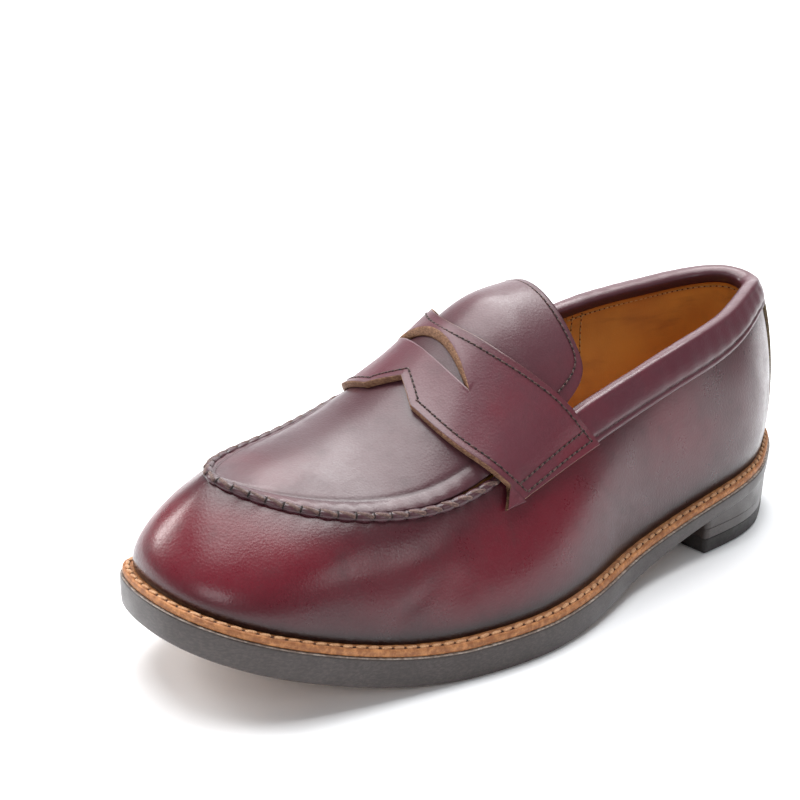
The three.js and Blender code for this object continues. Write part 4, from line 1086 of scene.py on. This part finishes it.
def build_strap():
    columns, rear_rows, front_rows = 190, 12, 20
    way = np.linspace(-1, 1, columns)
    # Columns: even over the strap, with close ones at both ends and one on the notch.
    way = np.sort(np.concatenate([way, [-0.996, 0.996]]))
    rows = []
    fractions = np.linspace(0, 1, 15)
    outer_reach, inner_reach = strap_reach(fractions)

    def girth_of(fraction):
        out = np.interp(fraction, fractions, outer_reach)
        inn = np.interp(fraction, fractions, inner_reach)
        girth = np.where(way > 0, way * out, way * inn)
        nearest = np.argmin(np.abs(girth - NOTCH_PLACE))
        girth[nearest] = NOTCH_PLACE
        return girth

    rear_steps = np.concatenate([[0, 0.03], np.linspace(0.1, 0.9, rear_rows), [0.97, 1.0]])
    front_steps = np.concatenate([[0, 0.03], np.linspace(0.08, 0.93, front_rows), [0.98, 1.0]])
    for kind, steps in (("rear", rear_steps), ("front", front_steps)):
        for step in steps:
            fraction = 0.33 * step if kind == "rear" else mix(0.33, 1.0, step)
            girth = girth_of(fraction)
            back, front = slot_edges(girth)
            if kind == "rear":
                station = mix(strap_rear(girth), back, step)
            else:
                station = mix(front, strap_front(girth), step)
            rows.append((station, girth))
    station = np.array([r[0] for r in rows])
    girth = np.array([r[1] for r in rows])
    cut = np.concatenate([np.zeros_like(rear_steps), front_steps])[:, None]
    slot_rear, slot_fore = (edge_line.reshape(girth.shape)
                            for edge_line in slot_edges(girth.reshape(-1)))
    slot_width = slot_fore - slot_rear
    to_slot = np.where(slot_width > 0.3, slot_rear - station, 30)
    thicker = bell(strap_front(girth) - station, 1.6) + bell(to_slot, 1.8) * (cut == 0)
    full = np.maximum(slot_width, 0) / (SLOT_BACK + SLOT_FRONT)
    slant = 2.1 * np.sqrt(full) * (cut == 0) * ease((station - slot_rear + 0.5) / 0.5)
    top, _ = strap_surface(station, girth, strap_top(station, girth) + 0.3 * thicker)
    under, _ = strap_surface(station + slant, girth, -0.7 * thicker)
    columns = station.shape[1]
    split = len(rear_steps)
    gap = np.abs(station[split] - station[split - 1]) > 1e-3
    # Where there is no slot the two parts share their middle row.
    names = np.arange(station.size).reshape(station.shape)
    names[split] = np.where(gap, names[split], names[split - 1])
    faces = [(names[i, j], names[i, j + 1], names[i + 1, j + 1], names[i + 1, j])
             for i in range(len(rows) - 1) if i != split - 1 for j in range(columns - 1)]
    used = np.unique(np.array(faces))
    lookup = {int(v): i for i, v in enumerate(used)}
    faces = [tuple(lookup[int(v)] for v in f) for f in faces]
    flat_station = station.reshape(-1)[used]
    flat_girth = girth.reshape(-1)[used]
    rear = flat_station - strap_rear(flat_girth)
    front = strap_front(flat_girth) - flat_station
    glow = 0.55 * bell(flat_girth - 1.15, 0.3) + 0.3 * bell(flat_girth - 0.7, 0.2)
    glow += 0.4 * bell(flat_girth + 1.1, 0.3)
    dark = 0.35 * bell(np.minimum(rear, front), 0.8)
    shell("saddle_strap_visual", top.reshape(-1, 3)[used], under.reshape(-1, 3)[used], faces,
          [STRAP_SKIN, RAW_TAN], "strap", replaces=["saddle_strap"], bulge=0.12,
          attributes={"glow": glow, "shade": dark})
    stitch_strap(outer_reach, inner_reach, fractions)


def stitch_strap(outer_reach, inner_reach, fractions):
    """Rows along the rear and front edge of the strap, and two across each of its ends."""
    ways = []
    ends = [np.interp(0.05, fractions, reach) for reach in (outer_reach, inner_reach)]
    girth = np.linspace(-ends[1] + 0.05, ends[0] - 0.05, 400)
    ways.append((strap_rear(girth) + 2.4, girth))
    ends = [np.interp(0.95, fractions, reach) for reach in (outer_reach, inner_reach)]
    girth = np.linspace(-ends[1] + 0.05, ends[0] - 0.05, 500)
    slope = np.abs(girth - NOTCH_PLACE) < NOTCH_HALF
    ways.append((strap_front(girth) - np.where(slope, 3.1, 2.6), girth))
    for side, reach in ((1, outer_reach), (-1, inner_reach)):
        for back in (0.055, 0.155):
            share = np.linspace(0.06, 0.94, 120)
            girth = side * (np.interp(share, fractions, reach) - back)
            ways.append((mix(strap_rear(girth), strap_front(girth), share), girth))
    lines = [strap_surface(station, girth, strap_top(station, girth)) for station, girth in ways]
    stitching("strap_stitches", lines, 2.6, (1.75, 0.66, 0.62), 0.1, "strap", RUST_THREAD,
              AWL_HOLE_SHADE, (1.0, 0.85, 0.4, 0.06), slant=0.12)


def tongue_grid(rows=60, columns=110):
    way = np.linspace(-1, 1, columns)
    way = np.sign(way) * (1 - (1 - np.abs(way)) ** 1.25)
    girth = np.broadcast_to(way * TONGUE_GIRTH, (rows, columns))
    step = np.linspace(0, 1, rows)[:, None]
    tuck = TONGUE_TUCK - 1.1 * bell(girth, 0.55)
    station = mix(tongue_back(girth), strap_rear(girth) + tuck, step)
    return station, girth


def build_tongue():
    station, girth = tongue_grid()
    share = arch_share(station)
    back = station - tongue_back(girth)
    tip = bell(back, 9) * bell(girth, 0.9)
    wave = 0.10 * np.sin(girth * 5 + station * 0.15)
    top = arch_at(share, girth, -TONGUE_DROP + wave + 0.5 * tip)
    bottom = arch_at(share, girth, -TONGUE_DROP - TONGUE_LEATHER + 0.5 * tip)
    # Painted shade where the tongue runs under the strap; darker also along its back edge.
    dark = 0.3 * bell(back, 1.0) + 0.45 * bell(strap_rear(girth) - station, 1.6)
    glow = 0.25 * bell(back, 6) + 0.4 * bell(girth - 0.85, 0.15)
    skin = shell("tongue_visual", top, bottom, grid_faces(*station.shape),
                 [TONGUE_SKIN, RAW_GREY], "tongue", replaces=["tongue"], body=None, bulge=0.15,
                 attributes={"glow": glow, "shade": dark})
    top = arch_at(share, girth, -TONGUE_DROP - TONGUE_LEATHER - 0.12 + 0.5 * tip)
    bottom = arch_at(share, girth, -TONGUE_DROP - TONGUE_LEATHER - 0.12 - LINING + 0.5 * tip)
    lining = shell("tongue_lining_visual", top, bottom, grid_faces(*station.shape),
                   [LINING_SKIN, RAW_GREY], "lining", replaces=["tongue_lining"], body=None,
                   attributes={"shade": np.zeros(station.shape)})
    line_girth = np.sin(np.linspace(-0.5, 0.5, 400) * math.pi) * (TONGUE_GIRTH - 0.055)
    line_station = tongue_back(line_girth / 0.943) + 2.6
    front = strap_rear(line_girth)
    keep = line_station < front
    line_share = arch_share(line_station[keep])
    line = arch_at(line_share, line_girth[keep], np.full(keep.sum(), -TONGUE_DROP + 0.48))
    stitches = stitching("tongue_stitches", [(line, arch_normal(line_share, line_girth[keep]))],
                         2.6, (1.7, 0.62, 0.6), -0.05, "tongue", RUST_THREAD, AWL_HOLE_SHADE,
                         (0.95, 0.8, 0.36, -0.02), slant=0.12, body=None)
    for thing in (skin, lining, stitches):
        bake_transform(thing)
        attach(thing, "root")


# ---- collar, heel strip and linings -----------------------------------------------------------
BAND_TUCK = 2.0                 # band under the strap's rear edge


def band_share(way, height):
    """Place round the shoe of a point of the band; way runs from 1, outer strap end, to -1."""
    side = np.where(way >= 0, 1, -1)
    girth = np.clip(2 - height, 1, 1.35) * side
    end = arch_share(strap_rear(girth) + BAND_TUCK)
    straight = arch_share(strap_rear(1.35 * side) + BAND_TUCK)
    held = np.abs(way)
    place = mix(straight * held, end, ease((held - 0.72) / 0.28))
    return np.where(side > 0, place, 1 - place)


def build_band():
    count = 320
    way = np.linspace(1, -1, count)
    rim_share = band_share(way, np.ones(count))
    drop = mix(BAND_HEIGHT_BACK, BAND_HEIGHT,
               ease(np.minimum(rim_share, 1 - rim_share) * ROUND / 10))
    lowest = below_rim(rim_share % 1.0, drop)
    upward = unit(wall(rim_share, 1.0) - wall(rim_share, 0.97))
    depth = lining_depth(rim_share) + LINING + 2 * PLY_GAP
    thin = mix(0.55, 1.0, ease((1 - np.abs(way)) * 18))
    thick = (PLY_GAP + BAND_LEATHER) * thin
    inward = depth + BAND_LEATHER
    ripple = 0.07 * np.sin(way * 95) + 0.05 * np.sin(way * 41 + 2)

    def level(height, distance, lift):
        return wall_at(band_share(way, height), height, distance) + upward * lift[:, None]

    zero = np.zeros(count)
    rings = [level(lowest, zero + 0.12, zero - 0.1), level(lowest, thick * 0.55, zero - 0.18),
             level(lowest, thick * 0.85, zero + 0.05)]
    # Painted shade where the band meets the wall, in its stitch groove, on the inner side of its
    # roll and inside the shoe.
    shades = [1.0, 0.9, 0.5]
    for share in (0.06, 0.12, 0.17, 0.22, 0.3, 0.42, 0.55, 0.68, 0.8, 0.9, 0.97):
        height = mix(lowest, 1, share)
        crown = 0.45 * math.sin(math.pi * min(1, share * 1.1)) - 0.42 * bell(share - 0.17, 0.045)
        rings.append(level(height, thick + (crown + ripple) * thin, zero))
        shades.append(0.5 * bell(share - 0.17, 0.05))
    centre, radius = (thick - inward) / 2, (thick + inward) / 2
    for k in range(1, 12):
        turn = math.pi * k / 12
        rings.append(level(np.ones(count), centre + radius * math.cos(turn),
                           (1.5 + 0.9 * thin) * math.sin(turn) ** 0.8 + ripple * 0.5))
        shades.append(0.0 if k < 8 else 0.3)
    tuck = below_rim(rim_share % 1.0, 3.4)
    for share in (0.3, 0.7, 1.0):
        rings.append(level(mix(1, tuck, share), -inward, zero))
        shades.append(0.7)
    rings.append(level(tuck, -depth, zero))
    rings.append(level(np.ones(count), -depth, zero + 0.3))
    rings.append(level(np.ones(count), zero + 0.1, zero + 0.3))
    rings.append(level(mix(lowest, 1, 0.4), zero + 0.1, zero))
    shades += [1.0] * 4
    rings = np.stack(rings, 1)
    glow = 0.35 * bell(np.abs(way) - 0.9, 0.15)
    swept("collar_band_visual", rings, BAND_SKIN, "collar", replaces=["collar_band"],
          attributes={"glow": np.repeat(glow[:, None], rings.shape[1], 1).reshape(-1),
                      "shade": np.tile(shades, count)})
    line_way = np.linspace(0.965, -0.965, 900)
    height = np.interp(line_way, way[::-1], mix(lowest, 1, 0.17)[::-1])
    share = band_share(line_way, height)
    normal = wall_normal(share, height)
    stitching("collar_stitches", [(wall_at(share, height, np.full(900, 1.32)), normal)], 2.7,
              (1.8, 0.62, 0.6), 0.0, "collar", BROWN_THREAD, AWL_HOLE_SHADE, (0.9, 0.7, 0.32, 0.0),
              slant=0.1)


STRIP_SEAM = 0.72               # stitch rows, as a share of the strip's half width


def build_strip():
    rows, columns = 60, 26
    top = float(below_rim(np.array([0.0]), BAND_HEIGHT_BACK + 0.3)[0])
    heights = mix(0.03, top, np.concatenate([[0, 0.01], np.linspace(0.03, 0.97, rows - 4),
                                             [0.99, 1]]))
    span = np.linalg.norm(wall(0.01, heights) - wall(-0.01, heights), axis=-1) / 0.02
    half = mix(STRIP_WIDTH_FOOT, STRIP_WIDTH_TOP, heights) / 2 / span
    ways = np.concatenate([[-1, -0.97], np.linspace(-0.9, 0.9, columns - 4), [0.97, 1]])
    share = ways[None, :] * half[:, None]
    height = np.broadcast_to(heights[:, None], share.shape)
    groove = -0.22 * bell(np.abs(ways) - STRIP_SEAM, 0.07)[None, :] + 0 * share
    outer = wall_at(share, height, PLY_GAP + BAND_LEATHER + groove)
    inner = wall_at(share, height, 0.1 + 0 * share)
    # Painted shade near the welt and in the grooves of the stitch rows.
    dark = 0.9 * bell(height, 0.1) + 0.4 * bell(np.abs(ways) - STRIP_SEAM, 0.08)[None, :]
    shell("heel_strip_visual", outer, inner, grid_faces(rows, columns), [BAND_SKIN, RAW_OLIVE],
          "strip", replaces=["heel_strip"], attributes={"glow": 0 * share, "shade": dark})
    places = [side * STRIP_SEAM * half for side in (1, -1)]
    lines = [(wall_at(place, heights, np.full(rows, 1.5)), wall_normal(place, heights))
             for place in places]
    stitching("heel_strip_stitches", lines, 2.7, (1.8, 0.6, 0.55), 0.0, "strip", BROWN_THREAD,
              AWL_HOLE_SHADE, (0.9, 0.7, 0.3, 0.0))


WALL_RUN = 62                   # height of the wall along its face, at the quarters
LINING_LINE = 8.5               # stitch line of the lining under the rim


def lining_panel(name, node, start, stop, lap=0.0):
    """Lining of one stretch of the wall, from the sock up to under the collar roll."""
    count = max(40, int(abs(stop - start) * 420))
    shares = np.linspace(start, stop, count)
    heights = np.concatenate([[0.1, 0.105], np.linspace(0.12, 0.96, 40), [0.968, 0.972]])
    share, height = np.meshgrid(shares, heights, indexing="ij")
    wave = 0.18 * np.sin(share * 60 + height * 5) + 0.12 * np.sin(share * 23 - height * 11)
    depth = lining_depth(share) + LINING + lap
    groove = 0.2 * bell((1 - height) * WALL_RUN - LINING_LINE, 0.7)
    outer = wall_at(share, height, -lining_depth(share))
    inner = wall_at(share, height, -depth + wave - groove)
    below_line = (1 - height) * WALL_RUN - LINING_LINE
    # Painted shade deep inside the shoe, along the stitch line and on the turned foot of the
    # lining.
    shade = 0.85 * bell(height - 0.1, 0.16) + 0.35 * bell(below_line, 0.9)
    turned = np.array([7.0, 4.5, 2.0, 0.8])[None, :] + 0 * share[:, :4]
    foot = np.array([0.082, 0.082, 0.084, 0.09])[None, :] + 0 * turned
    low = share[:, :4]
    outer = np.concatenate([wall_at(low, foot - 0.012, -lining_depth(low) - turned), outer], 1)
    inner = np.concatenate([wall_at(low, foot + 0.004, -depth[:, :4] - turned), inner], 1)
    shade = np.concatenate([0.8 + 0 * turned, shade], 1)
    shell(name, outer, inner, grid_faces(*outer.shape[:2]), [LINING_SKIN], "lining",
          replaces=[node], attributes={"shade": shade})


def build_linings():
    vamp = float(arch_share(strap_rear(1.0)))
    lining_panel("heel_lining_visual", "heel_lining", -SEAM_PLACE - 0.004, SEAM_PLACE + 0.004, 0.35)
    lining_panel("side_lining_outer_visual", "side_lining_outer", SEAM_PLACE - 0.004, vamp + 0.01)
    lining_panel("side_lining_inner_visual", "side_lining_inner", 1 - vamp - 0.01,
                 1 - SEAM_PLACE + 0.004)
    lines = []
    places = np.linspace(-vamp + 0.01, vamp - 0.01, 900)
    height = 1 - LINING_LINE / WALL_RUN + 0 * places
    near_heel = (np.abs(places) < SEAM_PLACE + 0.004) * 0.35
    depth = lining_depth(places) + LINING + near_heel + 0.05
    lines.append((wall_at(places, height, -depth), -wall_normal(places, height)))
    for side in (1, -1):
        for shift in (0.0, 0.009):
            heights = np.linspace(0.2, 0.95, 120)
            place = side * (SEAM_PLACE - shift - 0.001) + 0 * heights
            depth = lining_depth(place) + LINING + 0.4
            lines.append((wall_at(place, heights, -depth), -wall_normal(place, heights)))
    stitching("lining_stitches", lines, 2.6, (1.7, 0.55, 0.5), 0.0, "lining", LINING_THREAD,
              WELT_HOLE_SHADE, (0.8, 0.6, 0.3, 0.0))
    build_vamp_lining(vamp)


def build_vamp_lining(vamp):
    """Lining of the forepart: up one wall, over the top and down the other."""
    rows = 90
    shares = np.linspace(vamp, 0.497, rows)
    heights = np.linspace(0.1, 0.97, 26)
    girths = np.linspace(0.93, -0.93, 34)
    share = shares[:, None]
    depth = lining_depth(share)

    def layer(ply):
        outer = wall_at(share + 0 * heights, heights + 0 * share, -(depth + ply) + 0 * heights)
        inner = wall_at(1 - share + 0 * heights, heights + 0 * share,
                        -(depth + ply) + 0 * heights)[:, ::-1]
        back = arch_share(strap_rear(girths * 0.98) + 2 * TONGUE_CLEARANCE + 1)
        forward = (share - shares[0]) / (shares[-1] - shares[0])
        place = mix(np.maximum(back[None, :], vamp), shares[-1], forward)
        width = np.linalg.norm(rim(shares) - rim(1 - shares), axis=-1)
        room = np.maximum(0, 1 - 9 / np.maximum(width, 9))[:, None]
        over = arch_at(place, girths * room, -(LEATHER + PLY_GAP + 0.1 + ply) + 0 * place)
        return np.concatenate([outer, over, inner], 1)

    top, bottom = layer(0.0), layer(LINING)
    # Painted shade, even over the forepart lining, which lies deep under the vamp.
    shell("vamp_lining_visual", top, bottom, grid_faces(*top.shape[:2]), [LINING_SKIN], "lining",
          replaces=["vamp_lining"], attributes={"shade": np.full(top.shape[:2], 0.35)})


def dress_frame():
    """Materials for the CAD pieces that stay as they are, inside the shoe."""
    looks = {"insole": BOARD, "insole_rib": STIFF, "cork_filler": CORK, "shank": STEEL,
             "heel_counter": STIFF, "toe_puff": STIFF}
    looks.update({f"heel_nail_{i}": BRASS for i in range(1, 5)})
    for name, look in looks.items():
        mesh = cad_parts[name].data
        mesh.materials.clear()
        mesh.materials.append(look)


# ---- floor, light and camera ------------------------------------------------------------------
CAMERA_AZIMUTH = math.radians(53.48)
CAMERA_ELEVATION = math.radians(18.13)
CAMERA_ROLL = math.radians(0.46)
CAMERA_DISTANCE = 0.45706
CAMERA_AIM = (-0.04299, -0.0215, 0.06239)
CAMERA_LENS = 53.2


def build_camera():
    azimuth, elevation = CAMERA_AZIMUTH, CAMERA_ELEVATION
    back = Vector((math.sin(azimuth) * math.cos(elevation),
                   -math.cos(azimuth) * math.cos(elevation), math.sin(elevation)))
    level = Vector((math.cos(azimuth), math.sin(azimuth), 0))
    up = back.cross(level)
    right = level * math.cos(CAMERA_ROLL) + up * math.sin(CAMERA_ROLL)
    up = back.cross(right)
    data = bpy.data.cameras.new("camera")
    data.lens = CAMERA_LENS
    data.sensor_width = 36
    data.clip_start = 0.02
    camera = bpy.data.objects.new("camera", data)
    turn = Matrix((right, up, back)).transposed().to_4x4()
    camera.matrix_world = Matrix.Translation(Vector(CAMERA_AIM) + back * CAMERA_DISTANCE) @ turn
    bpy.context.scene.collection.objects.link(camera)
    bpy.context.scene.camera = camera


def softbox(name, place, aim, size, power, colour=(1, 1, 1)):
    data = bpy.data.lights.new(name, "AREA")
    data.shape = "RECTANGLE"
    data.size, data.size_y = size
    data.energy = power
    data.color = colour
    light = bpy.data.objects.new(name, data)
    light.location = place
    light.rotation_euler = (Vector(aim) - Vector(place)).to_track_quat("-Z", "Y").to_euler()
    bpy.context.scene.collection.objects.link(light)


SWEEP_FRONT = -2.6
SWEEP_BACK = 1.6
SWEEP_RADIUS = 1.4
SWEEP_TOP = 4.5
SWEEP_HALF = 1.7


def backdrop():
    """Pale paper sweep: floor, a wide curve and an upright on the side away from the camera."""
    line = [(SWEEP_FRONT, 0.0), (0.0, 0.0), (SWEEP_BACK, 0.0)]
    for k in range(1, 25):
        turn = math.pi / 2 * k / 24
        line.append((SWEEP_BACK + SWEEP_RADIUS * math.sin(turn),
                     SWEEP_RADIUS * (1 - math.cos(turn))))
    line.append((SWEEP_BACK + SWEEP_RADIUS, SWEEP_TOP))
    away = (-math.sin(CAMERA_AZIMUTH), math.cos(CAMERA_AZIMUTH))
    across = (math.cos(CAMERA_AZIMUTH), math.sin(CAMERA_AZIMUTH))
    verts = []
    for reach, height in line:
        for side in (-SWEEP_HALF, SWEEP_HALF):
            verts.append((away[0] * reach + across[0] * side,
                          away[1] * reach + across[1] * side, height))
    mesh = bpy.data.meshes.new("backdrop")
    mesh.from_pydata(verts, [], [(2 * i, 2 * i + 1, 2 * i + 3, 2 * i + 2)
                                 for i in range(len(line) - 1)])
    mesh.polygons.foreach_set("use_smooth", np.ones(len(mesh.polygons), bool))
    look = Look("pale_paper", Specular_IOR_Level=0.1)
    tint = look.noise(3, 3)
    mesh.materials.append(look.finish(
        look.blend(look.remap(tint, 0.3, 0.7), rgb(0.93, 0.94, 0.955), rgb(0.95, 0.955, 0.965)),
        look.remap(tint, 0.3, 0.7, 0.7, 0.8)))
    paper = bpy.data.objects.new("backdrop", mesh)
    paper.location.z = -0.0004
    bpy.context.scene.collection.objects.link(paper)


def build_stage():
    world = bpy.data.worlds.new("studio")
    world.use_nodes = True
    background = world.node_tree.nodes["Background"]
    background.inputs["Color"].default_value = (0.93, 0.96, 1.0, 1)
    background.inputs["Strength"].default_value = 0.26
    bpy.context.scene.world = world
    backdrop()
    aim = (0, 0, 0.05)
    softbox("overhead", (-0.35, 0.1, 1.5), aim, (1.5, 1.1), 34)
    softbox("left_window", (-1.25, -0.9, 0.95), aim, (0.5, 0.8), 17, (1, 0.98, 0.96))
    softbox("right_window", (1.5, 0.2, 0.9), aim, (0.35, 0.7), 3)
    softbox("front_fill", (0.7, -1.6, 0.9), aim, (0.8, 0.6), 6, (0.96, 0.98, 1))
    softbox("sweep_light", (-0.9, 1.2, 2.2), (-1.6, 2.2, 0.6), (2.2, 1.4), 75)
    bpy.context.scene.view_settings.view_transform = "Standard"


# ---- everything -------------------------------------------------------------------------------
build_camera()
build_stage()
dress_frame()
build_bottom()
build_wall()
build_apron()
build_seam()
build_strap()
build_tongue()
build_band()
build_strip()
build_linings()
